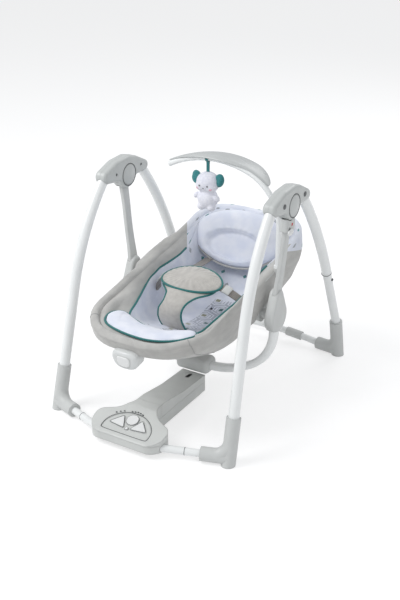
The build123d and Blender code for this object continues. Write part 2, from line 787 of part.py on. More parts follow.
shoulder_height = arm_shoulder_drop - hub_ring_r + 2 * wall
shoulder_middle = at(arm_top_x - wall, 0, hub_z - arm_shoulder_drop + shoulder_height / 2)
shoulder = block(arm_shoulder_thickness, arm_shoulder_width, shoulder_height, shoulder_middle)
shoulder = fillet(shoulder.edges().filter_by(Axis.Z), 2 * arm_edge_r)
shoulder -= cross_rod(hub_x - hub_thickness, hub_x + hub_thickness, 0, hub_z, hub_ring_r + shoulder_gap)
shoulder_face = arm_top_x - wall + arm_shoulder_thickness / 2
release_root = shoulder_face - 3 * release_travel
arm_right = arm + shoulder
arm_right -= cross_rod(release_root - seat_gap, shoulder_face + wall, release_button_reach,
                       hub_z - release_button_drop, release_button_r + running_gap)
mark_depth = wall / 2
mark_middle = at(shoulder_face - mark_depth / 2, lock_mark_reach, hub_z - lock_mark_drop)
arm_right -= block(mark_depth, lock_mark_width, lock_mark_height, mark_middle)
keep("swing_arm_right", arm_right)
keep("lock_indicator", block(mark_depth, lock_mark_width - seat_gap, lock_mark_height - seat_gap,
                             mark_middle))
release = cross_rod(release_root + release_travel, shoulder_face + release_travel + seat_gap,
                    release_button_reach, hub_z - release_button_drop, release_button_r)
keep("arm_release_button", fillet(release.faces().sort_by(Axis.X)[-1].edges(), wall / 2))

tube_drop = pivot_z - under_tube_z
tube_lean = math.hypot(tube_drop, under_tube_shift)
tube_up = (0.0, -under_tube_shift / tube_lean, tube_drop / tube_lean)
tube_plane = Plane(origin=at(0, 0, pivot_z), x_dir=(1, 0, 0),
                   z_dir=(0.0, -tube_up[2], tube_up[1]))


def under_tube_solid(section_width, section_height):
    """Flat oval bar from one housing down under the seat and up to the other."""
    top = -pivot_r - wall
    knee = (under_tube_knee_z - pivot_z) / tube_up[2]
    low = -tube_lean
    turns = [(-under_tube_end_x, top), (-under_tube_end_x, knee), (-under_tube_flat_x, low),
             (under_tube_flat_x, low), (under_tube_end_x, knee), (under_tube_end_x, top)]
    bends = [under_tube_bend_r, under_tube_sweep_r, under_tube_sweep_r, under_tube_bend_r]
    path = tube_plane * FilletPolyline(*turns, radius=bends)
    section = Plane(origin=path @ 0, x_dir=tube_plane.z_dir, z_dir=path % 0)
    return sweep(section * SlotOverall(section_width, section_height), path=path)


tube_solid = under_tube_solid(under_tube_width, under_tube_height)
tube_bore = under_tube_solid(under_tube_width - 2 * under_tube_wall,
                             under_tube_height - 2 * under_tube_wall)
tube_way = under_tube_solid(under_tube_width + seat_gap, under_tube_height + seat_gap)
keep("under_tube", tube_solid - tube_bore)

bracket = block(bracket_length, bracket_width, bracket_height, at(0, under_tube_shift, under_tube_z))
bracket = fillet(bracket.edges(), bracket_edge_r)
keep("dock_bracket", bracket - tube_way)

housing_rims = Circle(housing_r).edges() + (Pos(0, housing_neck_rise) * Circle(housing_neck_r)).edges()
housing_plane = Plane(origin=at(housing_x, 0, pivot_z), x_dir=(0, 1, 0), z_dir=(1, 0, 0))
housing = housing_plane * extrude(make_hull(housing_rims), housing_thickness / 2, both=True)
housing_edges = housing.edges().filter_by(
    lambda e: abs(abs(e.center().X - housing_x) - housing_thickness / 2) < running_gap)
housing = fillet(housing_edges, 2 * arm_edge_r)
housing -= arm_form(seat_gap / 2) + tube_way
housing_inner_x = housing_x - housing_thickness / 2
housing_outer_x = housing_x + housing_thickness / 2
pin_end_x = housing_outer_x - 2 * wall
housing -= cross_rod(housing_inner_x - wall, pin_end_x + seat_gap, 0, pivot_z, pivot_r + running_gap)
keep_pair("arm_housing", housing)

# ---------------------------------------------------------------- seat
seat = Location(at(0, 0, pivot_z)) * Rot(seat_tilt, 0, 0)


def seat_outline(foot, head, half_width, inset):
    """Outline of the seat at one level: rounder at the foot than at the head."""
    foot_r = max(min(shell_foot_r, half_width * foot_roundness) - inset, 2 * wall)
    head_r = max(min(shell_head_r, half_width * head_roundness) - inset, 2 * wall)
    half = half_width - inset
    return rounded_outline([
        (-half, foot + inset, foot_r),
        (half, foot + inset, foot_r),
        (half, head - inset, head_r),
        (-half, head - inset, head_r),
    ])


def seat_form(inset):
    """Closed basin form of the seat in its own frame, drawn in by an inset."""
    top = shell_sections[0][0]
    depth = top - shell_sections[-1][0]
    levels = []
    for rise, foot, head, half in shell_sections:
        level = rise + inset * (top - rise) / depth
        levels.append(Pos(0, 0, level) * seat_outline(foot, head, half, inset))
    return loft(levels, ruled=True)


def rim_lid():
    """Everything above the rim, which climbs towards the head end."""
    top = 4 * rim_rise
    side = Polyline((2 * rim_foot, rim_rise), (rim_turn_v, rim_rise),
                    (rim_head, rim_rise + head_rise), (2 * rim_head, rim_rise + head_rise),
                    (2 * rim_head, top), (2 * rim_foot, top), close=True)
    plane = Plane(origin=(0, 0, 0), x_dir=(0, 1, 0), z_dir=(1, 0, 0))
    return plane * extrude(make_face(side), 2 * rim_half_width, both=True)


def frame_path(form):
    """Closed path of the rim tube, in the middle of the seat's wall."""
    level = rim_rise - frame_tube_drop
    span = Rectangle(4 * rim_half_width, 4 * rim_head)
    cut = (form & Pos(0, 0, level) * span).bounding_box()
    outline = seat_outline(cut.min.Y, cut.max.Y, cut.max.X, seat_wall / 2)
    return Pos(0, 0, level) * outline.face().outer_wire()


lid = rim_lid()
basin = seat_form(0.0)
hollow = seat_form(seat_wall)
rim_path = frame_path(basin)
frame_section = Plane(origin=rim_path @ 0, z_dir=rim_path % 0)
frame_tube_way = sweep(frame_section * Circle(frame_tube_r + seat_gap), path=rim_path)
frame_tube = sweep(frame_section * Circle(frame_tube_r), path=rim_path)
cover = basin - hollow - lid - frame_tube_way
liner = seat_form(seat_wall + seat_gap) - seat_form(seat_wall + seat_gap + liner_thickness) - lid

frame_z = rim_rise - frame_tube_drop
studs = Part()
plates = []
for v in stud_v:
    inner_end = (rim_half_width - seat_wall / 2 - frame_tube_r, v, frame_z)
    outer_end = (side_plate_x + side_plate_thickness / 2, v, frame_z)
    studs += rod(inner_end, outer_end, stud_r)
    stud_way = rod((rim_half_width / 2, v, frame_z), outer_end, stud_r + seat_gap)
    cover -= stud_way + mirror(stud_way, about=Plane.YZ)
    liner -= stud_way + mirror(stud_way, about=Plane.YZ)
studs -= rod((0, stud_v[0] - stud_r, frame_z), (0, stud_v[0], frame_z), wall)
plate_plane = Plane(origin=(side_plate_x, 0, 0), x_dir=(0, 1, 0), z_dir=(1, 0, 0))
plate_rims = Circle(side_plate_r).edges()
for v in stud_v:
    plate_rims += (Pos(v, frame_z) * Circle(stud_r + 2 * wall)).edges()
side_plate = plate_plane * extrude(make_hull(plate_rims), side_plate_thickness / 2, both=True)
side_plate += rod((side_plate_x, 0, 0), (housing_inner_x - seat_gap, 0, 0), pivot_r + 2 * wall)
side_plate += rod((side_plate_x, 0, 0), (pin_end_x, 0, 0), pivot_r)
bracket_right = seat * (side_plate + studs)
rim_z_at_post = pivot_z + rim_rise
bracket_left = mirror(bracket_right, about=Plane.YZ)
bracket_right += Pos(*at(post_x, post_reach, rim_z_at_post)) * Cylinder(post_lug_r, post_lug_height)
bracket_right -= Pos(*at(post_x, post_reach, rim_z_at_post + wall)) * Cylinder(
    toy_bar_r + running_gap, post_lug_height)
keep("seat_bracket_right", bracket_right)
keep("seat_bracket_left", bracket_left)
keep("seat_frame", seat * frame_tube - bracket_right - bracket_left)
keep("seat_cover", seat * cover)
keep("seat_liner", seat * liner)

pillow = Rot(pillow_lean, 0, 0) * extrude(Ellipse(pillow_half_width, pillow_half_length),
                                          pillow_thickness / 2, both=True)
pillow = fillet(pillow.edges(), pillow_thickness / 3)
room = seat_form(seat_wall + liner_thickness + 2 * seat_gap)
keep("head_pillow", seat * (Pos(0, pillow_v, pillow_n) * pillow & room))

# ---------------------------------------------------------------- restraint
pad = Pos(0, pad_v, rim_rise) * extrude(Ellipse(pad_half_width, pad_half_length),
                                        pad_thickness / 2, both=True)
neck_plane = Plane(origin=(0, 0, 0), x_dir=(0, 1, 0), z_dir=(1, 0, 0))
neck_side = make_face(Polyline(
    (pad_v, rim_rise - pad_thickness / 2), (pad_v, rim_rise + pad_thickness / 2),
    (pad_v - pad_half_length, rim_rise + pad_thickness / 2),
    (crotch_v - pad_thickness / 2, crotch_n + pad_thickness),
    (crotch_v - pad_thickness / 2, crotch_n), (crotch_v + pad_thickness / 2, crotch_n),
    (pad_v - pad_half_length + pad_thickness / 2, rim_rise - pad_thickness / 2), close=True))
pad += neck_plane * extrude(neck_side, pad_neck_width / 2, both=True)
pad &= room
keep("restraint_pad", seat * pad)

strap_inner = (pad_half_width - wall, rim_rise)
strap_outer = (strap_wall_x, strap_wall_n)
strap_plane = Plane(origin=(0, pad_v, 0), x_dir=(1, 0, 0), z_dir=(0, 1, 0))
strap_run = Line((strap_inner[0], -strap_inner[1]), (strap_outer[0], -strap_outer[1]))
strap_face = make_face(trace(strap_run, strap_thickness).face().outer_wire())
strap = strap_plane * extrude(strap_face, strap_width / 2, both=True)
strap -= pad
straps = strap + mirror(strap, about=Plane.YZ)
buckle_run = trace(Line(strap_run @ 0.25, strap_run @ 0.62), 4 * strap_thickness)
buckle = strap_plane * extrude(buckle_run, strap_width / 2 + wall, both=True)
strap_slot = trace(strap_run, strap_thickness + seat_gap)
buckle -= strap_plane * extrude(strap_slot, strap_width / 2 + seat_gap / 2, both=True)
buckle -= pad
keep("waist_straps", seat * straps)
keep("strap_buckles", seat * (buckle + mirror(buckle, about=Plane.YZ)))

# ---------------------------------------------------------------- vibration unit
unit = block(vibration_width, vibration_depth, vibration_height,
             (vibration_x, vibration_v, vibration_n))
unit = fillet(unit.edges(), 2 * wall)
button_way = rod((vibration_x, vibration_v, vibration_n),
                 (vibration_x, vibration_v - vibration_depth, vibration_n),
                 vibration_button_r + button_gap)
keep("vibration_unit", seat * (unit - basin - button_way))
vibration_face = vibration_v - vibration_depth / 2
vibration_button = rod((vibration_x, vibration_face + 3 * button_travel, vibration_n),
                       (vibration_x, vibration_face - button_travel, vibration_n),
                       vibration_button_r)
keep("vibration_button", seat * vibration_button)


# ---------------------------------------------------------------- toy bar, canopy and toy
arch_turn = math.radians(toy_arch_turn)
arch_joint = (toy_arch_x + toy_arch_r * math.sin(arch_turn),
              toy_arch_z - toy_arch_r * (1 - math.cos(arch_turn)))
corner_r = (post_x - arch_joint[0]) / (1 - math.sin(arch_turn))
post_top_z = arch_joint[1] - corner_r * math.cos(arch_turn)
toy_plane = Plane(origin=at(0, post_reach, 0), x_dir=(1, 0, 0), z_dir=(0, -1, 0))


def bar_line(grow):
    """Line of the toy bar from its post over to its tip, moved outwards by an amount."""
    start = (post_x + grow, post_bottom_z)
    run = Line(start, (post_x + grow, post_top_z))
    turn = JernArc(run @ 1, (0, 1), corner_r + grow, 90 - toy_arch_turn)
    return run + turn + JernArc(turn @ 1, turn % 1, toy_arch_r + grow, toy_arch_turn + toy_tip_turn)


bar_path = toy_plane * bar_line(0.0)
toy_bar = round_bar(bar_path, toy_bar_r)
collar_z = rim_z_at_post + post_lug_height / 2 + seat_gap + post_collar_height / 2
toy_bar += Pos(*at(post_x, post_reach, collar_z)) * Cylinder(post_collar_r, post_collar_height)
keep("toy_bar", toy_bar)


def under_line(grow):
    """Area under the toy bar's line moved outwards by an amount."""
    line = bar_line(grow)
    tip = line @ 1
    floor = Polyline(tip, (tip.X, 0), (post_x + grow, 0), line @ 0)
    return make_face(line + floor)


canopy_band = under_line(toy_bar_r + canopy_thickness) - under_line(toy_bar_r)
canopy = toy_plane * extrude(canopy_band, canopy_half_depth, both=True)
tip_x = (bar_line(toy_bar_r) @ 1).X
leaf = make_face(
    ThreePointArc((tip_x, -canopy_shift), ((tip_x + canopy_tail_x) / 2, -canopy_half_depth),
                  (canopy_tail_x, -canopy_shift))
    + ThreePointArc((canopy_tail_x, -canopy_shift),
                    ((tip_x + canopy_tail_x) / 2, canopy_half_depth - canopy_lip),
                    (tip_x, -canopy_shift)))
canopy &= Pos(0, hub_y + post_reach, 0) * extrude(leaf, 2 * toy_arch_z)
toy_share = math.sqrt(toy_arch_r ** 2 - (toy_x - toy_arch_x) ** 2)
toy_bar_z = toy_arch_z - toy_arch_r + toy_share
loop_r = toy_bar_r + 3 * seat_gap + ribbon_thickness
loop_middle = at(toy_x, post_reach, toy_bar_z - 2 * seat_gap)
canopy -= Pos(*loop_middle) * Rot(0, 90, 0) * Cylinder(loop_r + 2 * seat_gap, ribbon_width + wall)
keep("toy_bar_canopy", canopy)

ribbon = Pos(*loop_middle) * Rot(0, 90, 0) * Cylinder(loop_r, ribbon_width)
ribbon -= Pos(*loop_middle) * Rot(0, 90, 0) * Cylinder(loop_r - ribbon_thickness, 2 * ribbon_width)
tail_z = toy_bar_z - loop_r - ribbon_drop / 2
ribbon += block(ribbon_width, 2 * ribbon_thickness, ribbon_drop, at(toy_x, post_reach, tail_z))
keep("toy_ribbon", ribbon)


def ellipsoid(half_sizes, middle):
    """Ellipsoid about a centre."""
    ball = scale(Sphere(1.0), by=half_sizes)
    return Pos(*middle) * ball


toy_top = toy_bar_z - loop_r - ribbon_drop - seat_gap
head_z = toy_top - toy_head_half[2]
body_z = head_z - toy_head_half[2] * 0.8 - toy_body_half[2] * 0.7
toy = ellipsoid(toy_head_half, at(toy_x, post_reach, head_z))
toy += ellipsoid(toy_body_half, at(toy_x, post_reach, body_z))
for side in (-1, 1):
    toy += Pos(*at(toy_x + side * toy_ear_x, post_reach, head_z + toy_ear_rise)) * Sphere(toy_ear_r)
    toy += Pos(*at(toy_x + side * toy_foot_x, post_reach - toy_foot_r,
                   body_z - toy_body_half[2] * 0.8)) * Sphere(toy_foot_r)
    toy += Pos(*at(toy_x + side * toy_hand_x, post_reach - toy_hand_r,
                   body_z + toy_hand_r)) * Sphere(toy_hand_r)
keep("plush_toy", toy)

# ---------------------------------------------------------------- files
os.makedirs("parts", exist_ok=True)
for part_name, shape in parts.items():
    export_step(shape, os.path.join("parts", part_name + ".step"))
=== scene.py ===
"""Looks of the portable baby swing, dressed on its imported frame.

Seat fabrics, pads, straps, toy and visor are made here. Tubes, hubs, feet and console keep their own
solids and get their finishes. Meshes and materials are in metres. The classes of the seat, the toy bar
and the trim hold their sizes in millimetres, and turn them to metres where they place a point.
"""
import logging
import math
from dataclasses import dataclass, field
from enum import Enum
from typing import Callable, Optional, Sequence

import bmesh
import bpy
from mathutils import Matrix, Vector, noise


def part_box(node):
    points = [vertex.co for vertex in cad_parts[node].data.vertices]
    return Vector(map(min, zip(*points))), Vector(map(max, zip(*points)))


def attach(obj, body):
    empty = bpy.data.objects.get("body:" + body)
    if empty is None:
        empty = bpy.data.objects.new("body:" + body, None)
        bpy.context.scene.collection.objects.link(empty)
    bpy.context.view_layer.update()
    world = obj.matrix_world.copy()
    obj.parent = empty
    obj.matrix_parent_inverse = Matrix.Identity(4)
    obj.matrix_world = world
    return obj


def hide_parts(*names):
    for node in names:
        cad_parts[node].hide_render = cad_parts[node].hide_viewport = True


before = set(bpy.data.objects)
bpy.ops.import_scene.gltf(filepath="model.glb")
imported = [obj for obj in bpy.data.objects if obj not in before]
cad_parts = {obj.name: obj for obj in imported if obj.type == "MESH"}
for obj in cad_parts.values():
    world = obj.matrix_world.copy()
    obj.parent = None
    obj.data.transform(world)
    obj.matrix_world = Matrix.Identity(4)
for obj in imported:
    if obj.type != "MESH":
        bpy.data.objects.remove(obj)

LOG = logging.getLogger("swing")
MM = 0.001  # a millimetre in metres
WELD = 1e-6  # points nearer than this are one point, in metres
WAVE_SPREAD = 6.28  # draws woven or knitted bands about two yarns apart, so that they show
Rgba = tuple[float, float, float, float]
Point = tuple[float, float, float]
Span = tuple[float, float, float, float]  # where a rise starts and ends, and a fall starts and ends
Place = Callable[[float, float], Vector]  # a surface: two shares to a place on it
Flat = Callable[[float, float], tuple[float, float]]  # two shares to a place on flat cloth
Choice = Callable[[float, float], int]  # two shares to the number of a finish
Socket = bpy.types.NodeSocket
Material = bpy.types.Material


class Body(Enum):
    """Moving bodies of the swing."""

    FRONT = "front_frame"
    REAR = "rear_frame"
    RELEASE = "release_button"
    SEAT = "seat"
    KEY = "vibration_key"
    TOY_ARM = "toy_arm"
    RIBBON = "ribbon"
    TOY = "toy"


class Slot(Enum):
    """Material slots named in the record."""

    GREY_PLASTIC = "grey_plastic"
    WHITE_PLASTIC = "white_plastic"
    LAMP = "lamp"
    GREY_FABRIC = "grey_fabric"
    WHITE_FABRIC = "white_fabric"
    PLUSH = "plush"
    RIBBON = "teal_ribbon"


class CoverCloth(Enum):
    """Cloths of the seat's cover, by their number on its mesh."""

    MINKY = 0
    DIAMONDS = 1


class LinerCloth(Enum):
    """Cloths of the seat's liner, by their number on its mesh."""

    PLAIN = 0
    HONEYCOMB = 1
    DIAMONDS = 2


# ---------- materials
def linear(colour: str) -> Rgba:
    """Turn an sRGB hex colour into linear values, by the curve of the sRGB standard.

    Args:
        colour: six hex digits after a hash.
    Returns:
        Linear red, green, blue and full alpha.
    """
    parts = [int(colour[i:i + 2], 16) / 255 for i in (1, 3, 5)]
    values = [c / 12.92 if c <= 0.04045 else ((c + 0.055) / 1.055) ** 2.4 for c in parts]
    return (values[0], values[1], values[2], 1.0)


def dulled(colour: str, share: float) -> Rgba:
    """Linear values of a hex colour, darkened to a share of themselves."""
    return tuple(c * share for c in linear(colour)[:3]) + (1.0,)


class Graph:
    """A material's node tree, with one call that adds a node, its settings and its links."""

    MIX_SHARE, MIX_A, MIX_B, MIX_RESULT = 0, 6, 7, 2  # sockets of a Mix node that mixes colours

    def __init__(self, name: str) -> None:
        """Start a material with an empty tree and a Principled shader.

        Args:
            name: the material's name.
        """
        self.material = bpy.data.materials.new(name)
        self.material.use_nodes = True
        self.tree = self.material.node_tree
        self.tree.nodes.clear()
        self.output = self.tree.nodes.new("ShaderNodeOutputMaterial")
        self.shader = self.tree.nodes.new("ShaderNodeBsdfPrincipled")
        self.tree.links.new(self.shader.outputs[0], self.output.inputs["Surface"])

    def add(self, kind: str, inputs: Optional[dict] = None, **settings: object) -> bpy.types.Node:
        """Add a node.

        Args:
            kind: node type without its "ShaderNode" prefix.
            inputs: socket name or index to a value, or to a socket to link from.
            settings: attributes of the node.
        Returns:
            The new node.
        """
        node = self.tree.nodes.new("ShaderNode" + kind)
        for key, value in settings.items():
            setattr(node, key, value)
        for key, value in (inputs or {}).items():
            self.feed(node, key, value)
        return node

    def feed(self, node: bpy.types.Node, key: object, value: object) -> None:
        """Set a socket of a node, or link another socket into it.

        Args:
            node: the node.
            key: name or index of its socket.
            value: a plain value, or the socket to link from.
        """
        if isinstance(value, Socket):
            self.tree.links.new(value, node.inputs[key])
        else:
            node.inputs[key].default_value = value

    def maths(self, how: str, *values: object) -> Socket:
        """Add a Math node and return its result."""
        return self.add("Math", dict(enumerate(values)), operation=how).outputs[0]

    def spots(self, vector: Socket, size_mm: float, detail: float = 2.0) -> Socket:
        """Noise whose grains are about size_mm across."""
        return self.add("TexNoise", {"Vector": vector, "Scale": 1 / (size_mm * MM), "Detail": detail}).outputs[0]

    def remap(self, value: Socket, low: float, high: float, to_low: float, to_high: float) -> Socket:
        """Map a range of values onto another, clamped."""
        inputs = {"Value": value, "From Min": low, "From Max": high, "To Min": to_low, "To Max": to_high}
        return self.add("MapRange", inputs).outputs[0]

    def mix(self, share: object, a: object, b: object) -> Socket:
        """Mix two colours.

        Args:
            share: how much of the second colour there is, from 0 to 1.
            a: the first colour.
            b: the second colour.
        Returns:
            The mixed colour.
        """
        node = self.add("Mix", data_type="RGBA")
        self.feed(node, self.MIX_SHARE, share)
        self.feed(node, self.MIX_A, a)
        self.feed(node, self.MIX_B, b)
        return node.outputs[self.MIX_RESULT]

    def place(self) -> Socket:
        """Object coordinates, in metres."""
        return self.add("TexCoord").outputs["Object"]

    def cloth(self) -> Socket:
        """The piece's own flat cloth coordinates, in metres."""
        return self.add("UVMap", uv_map="cloth").outputs[0]

    def relief(self, height: Socket, depth_mm: float, strength: float = 1.0,
               base: Optional[Socket] = None) -> Socket:
        """Turn a height into a normal.

        Args:
            height: the height, from 0 to 1.
            depth_mm: depth that a height of 1 stands for.
            strength: how much of it is seen.
            base: a normal to lay it over.
        Returns:
            The normal.
        """
        inputs: dict = {"Height": height, "Distance": depth_mm * MM, "Strength": strength}
        if base is not None:
            inputs["Normal"] = base
        return self.add("Bump", inputs).outputs[0]

    def set(self, **sockets: object) -> Material:
        """Set sockets of the shader.

        Args:
            sockets: values or sockets by the shader's own names, with underscores for spaces.
        Returns:
            The material.
        """
        for key, value in sockets.items():
            self.feed(self.shader, key.replace("_", " "), value)
        return self.material


@dataclass(frozen=True)
class MouldedPlastic:
    """Injection-moulded ABS or polypropylene: spark-eroded grain, soft moulded edges, faint mottling."""

    name: str
    colour: str
    roughness: float = 0.42
    grain_mm: float = 0.7
    edge_mm: float = 2.0
    mottle_mm: float = 45.0
    mottle: float = 0.93  # share of the colour that is left in the darker patches

    def material(self) -> Material:
        """Build the material.

        Returns:
            The finished material.
        """
        g = Graph(self.name)
        place = g.place()
        grain = g.spots(place, self.grain_mm)
        cloud = g.spots(place, self.mottle_mm)
        patches = g.remap(cloud, 0.35, 0.65, 0.0, 0.6)
        soft_edge = g.add("Bevel", {"Radius": self.edge_mm * MM}, samples=4).outputs[0]
        return g.set(
            Base_Color=g.mix(patches, linear(self.colour), dulled(self.colour, self.mottle)),
            Roughness=g.remap(cloud, 0.3, 0.7, self.roughness - 0.05, self.roughness + 0.07),
            Normal=g.relief(grain, 0.05, 0.35, soft_edge),
        )


@dataclass(frozen=True)
class PowderCoat:
    """Polyester powder coat on steel tube: a glossy skin with a fine orange peel."""

    name: str
    colour: str
    peel_mm: float = 1.6
    mottle_mm: float = 60.0
    mottle: float = 0.95  # share of the colour that is left in the darker patches

    def material(self) -> Material:
        """Build the material.

        Returns:
            The finished material.
        """
        g = Graph(self.name)
        place = g.place()
        peel = g.spots(place, self.peel_mm, 1.0)
        patches = g.remap(g.spots(place, self.mottle_mm), 0.4, 0.7, 0.0, 0.5)
        g.set(Coat_Weight=0.25, Coat_Roughness=0.12)
        return g.set(
            Base_Color=g.mix(patches, linear(self.colour), dulled(self.colour, self.mottle)),
            Roughness=g.remap(peel, 0.3, 0.7, 0.26, 0.36),
            Normal=g.relief(peel, 0.04, 0.4),
        )


@dataclass(frozen=True)
class PlainMetal:
    """Zinc-plated or bright drawn steel: streaks along the way it was drawn."""

    name: str
    colour: str
    dark: str = "#8D9092"
    streak_mm: float = 0.8
    stretch: Point = (0.1, 1.0, 1.0)

    def material(self) -> Material:
        """Build the material.

        Returns:
            The finished material.
        """
        g = Graph(self.name)
        stretch = g.add("Mapping", {"Vector": g.place(), "Scale": self.stretch}).outputs[0]
        streak = g.spots(stretch, self.streak_mm)
        g.set(Metallic=1.0)
        return g.set(
            Base_Color=g.mix(streak, linear(self.colour), linear(self.dark)),
            Roughness=g.remap(streak, 0.3, 0.7, 0.28, 0.42),
            Normal=g.relief(streak, 0.02, 0.4),
        )


@dataclass(frozen=True)
class Minky:
    """Short-pile polyester plush: a brushed nap with lighter and darker strokes."""

    name: str
    colour: str
    dark: str
    pile_mm: float = 1.1
    nap_mm: float = 16.0
    broad_mm: float = 55.0
    lean: Point = (1.0, 0.55, 1.4)  # stretch of the nap's strokes

    def material(self) -> Material:
        """Build the material.

        Returns:
            The finished material.
        """
        g = Graph(self.name)
        place = g.place()
        pile = g.spots(place, self.pile_mm, 3.0)
        nap = g.spots(g.add("Mapping", {"Vector": place, "Scale": self.lean}).outputs[0], self.nap_mm, 3.0)
        broad = g.spots(place, self.broad_mm, 1.0)
        stroke = g.maths("ADD", g.maths("MULTIPLY", nap, 0.65), g.maths("MULTIPLY", broad, 0.35))
        tone = g.mix(g.remap(stroke, 0.3, 0.66, 0.0, 1.0), linear(self.dark), linear(self.colour))
        g.set(Sheen_Weight=0.45, Sheen_Roughness=0.45, Specular_IOR_Level=0.15, Roughness=0.92)
        bump = g.relief(nap, 1.6, 0.35)
        return g.set(Base_Color=tone, Normal=g.relief(pile, 0.5, 0.55, bump))


@dataclass(frozen=True)
class Jersey:
    """Fine knitted polyester jersey: rows of loops, with faint shading. The rows are drawn coarser to show."""

    name: str
    colour: str
    dark: str
    loop_mm: float = 1.1
    shade_mm: float = 40.0

    def ground(self, g: Graph) -> tuple[Socket, Socket]:
        """Make the plain knit.

        Args:
            g: the node tree to add to.
        Returns:
            The colour and the normal of the knit.
        """
        place = g.place()
        wave = {"Vector": place, "Scale": 1 / (self.loop_mm * MM * WAVE_SPREAD), "Distortion": 1.5, "Detail": 1.0}
        rows = g.add("TexWave", wave, bands_direction="DIAGONAL").outputs[1]
        cloud = g.spots(place, self.shade_mm)
        tone = g.mix(g.remap(cloud, 0.35, 0.68, 0.0, 1.0), linear(self.colour), linear(self.dark))
        soft = g.relief(cloud, 3.0, 0.25)
        return tone, g.relief(rows, 0.18, 0.35, soft)

    def knitted(self, g: Graph, tone: Socket, normal: Socket) -> Material:
        """Set the shader to matt knitted cloth of a colour and a normal, and return the material."""
        g.set(Sheen_Weight=0.25, Sheen_Roughness=0.5, Specular_IOR_Level=0.2, Roughness=0.85)
        return g.set(Base_Color=tone, Normal=normal)

    def offset(self, g: Graph, along: Socket, size: float, shift: float) -> Socket:
        """Distance from the middle of the nearest cell of a print along one axis, in cells."""
        share = g.maths("ADD", g.maths("DIVIDE", along, size), shift)
        return g.maths("ABSOLUTE", g.maths("SUBTRACT", g.maths("FRACT", share), 0.5))

    def material(self) -> Material:
        """Build the material."""
        g = Graph(self.name)
        return self.knitted(g, *self.ground(g))


@dataclass(frozen=True)
class HoneycombJersey(Jersey):
    """Jersey printed with nested honeycomb outlines round small squares."""

    line: str = "#9DA2B0"
    dots: tuple[str, str] = ("#41696C", "#8E8F78")
    across_mm: float = 66.0
    half_height_mm: float = 30.0
    rings: tuple[float, ...] = (0.93, 0.66)  # shares of a cell's outline
    ring_width: float = 0.07
    dot_size: float = 0.19  # share of a cell's width
    ring_ink: float = 0.85
    frame_ink: float = 0.55
    dot_ink: float = 0.95

    def hexagon(self, g: Graph, x: Socket, y: Socket) -> Socket:
        """Measure how far out in a cell a place is.

        Args:
            g: the node tree to add to.
            x: distance from the cell's middle across it.
            y: distance from the cell's middle up it.
        Returns:
            0 in the middle and 1 on the outline.
        """
        flat = g.maths("DIVIDE", x, self.across_mm * MM / 2)
        slant = g.maths("ADD", g.maths("MULTIPLY", flat, 0.5), g.maths("DIVIDE", y, self.half_height_mm * MM))
        return g.maths("MAXIMUM", flat, slant)

    def material(self) -> Material:
        """Build the material.

        Returns:
            The finished material.
        """
        g = Graph(self.name)
        tone, normal = self.ground(g)
        flat = g.add("SeparateXYZ", {0: g.cloth()})
        width, height = self.across_mm * MM, 3 * self.half_height_mm * MM
        near = [[g.maths("MULTIPLY", self.offset(g, flat.outputs[k], size, shift), size)
                 for k, size in enumerate((width, height))] for shift in (0.0, 0.5)]
        inner = g.maths("MINIMUM", *(self.hexagon(g, x, y) for x, y in near))
        for ring in self.rings:
            gap = g.maths("ABSOLUTE", g.maths("SUBTRACT", inner, ring))
            ink = g.remap(gap, self.ring_width * 0.6, self.ring_width, self.ring_ink, 0.0)
            tone = g.mix(ink, tone, linear(self.line))
        for (x, y), dot in zip(near, self.dots):
            square = g.maths("DIVIDE", g.maths("MAXIMUM", x, y), width)
            size = self.dot_size
            tone = g.mix(g.remap(square, size, size + 0.02, self.frame_ink, 0.0), tone, linear(self.line))
            tone = g.mix(g.remap(square, size * 0.72, size * 0.8, 1.0, 0.0), tone, linear(self.colour))
            tone = g.mix(g.remap(square, size * 0.5, size * 0.6, self.dot_ink, 0.0), tone, linear(dot))
        return self.knitted(g, tone, normal)


@dataclass(frozen=True)
class DiamondJersey(Jersey):
    """Jersey with a few small printed diamonds set far apart."""

    inks: tuple[str, str] = ("#3F8A8A", "#A5A9AE")
    shifts: tuple[float, float] = (0.15, 0.65)
    pitch_mm: float = 92.0
    size: float = 0.085  # share of the pitch
    ink: float = 0.9

    def material(self) -> Material:
        """Build the material.

        Returns:
            The finished material.
        """
        g = Graph(self.name)
        tone, normal = self.ground(g)
        flat = g.add("SeparateXYZ", {0: g.cloth()})
        for shift, colour in zip(self.shifts, self.inks):
            diamond = g.maths("ADD", *(self.offset(g, flat.outputs[k], self.pitch_mm * MM, shift) for k in (0, 1)))
            tone = g.mix(g.remap(diamond, self.size, self.size + 0.015, self.ink, 0.0), tone, linear(colour))
        return self.knitted(g, tone, normal)


@dataclass(frozen=True)
class Webbing:
    """Woven polyester tape: crossing yarns, slightly glossy. The yarns are drawn coarser to show."""

    name: str
    colour: str
    dark: str
    yarn_mm: float = 1.3

    def material(self) -> Material:
        """Build the material.

        Returns:
            The finished material.
        """
        g = Graph(self.name)
        wave = {"Vector": g.place(), "Scale": 1 / (self.yarn_mm * MM * WAVE_SPREAD), "Distortion": 0.4}
        weft, warp = (g.add("TexWave", wave, bands_direction=way).outputs[1] for way in ("X", "Y"))
        weave = g.maths("MULTIPLY", weft, warp)
        tone = g.mix(g.remap(weave, 0.0, 0.8, 0.0, 1.0), linear(self.dark), linear(self.colour))
        g.set(Sheen_Weight=0.2, Specular_IOR_Level=0.3, Roughness=0.7)
        return g.set(Base_Color=tone, Normal=g.relief(weave, 0.3, 0.6))


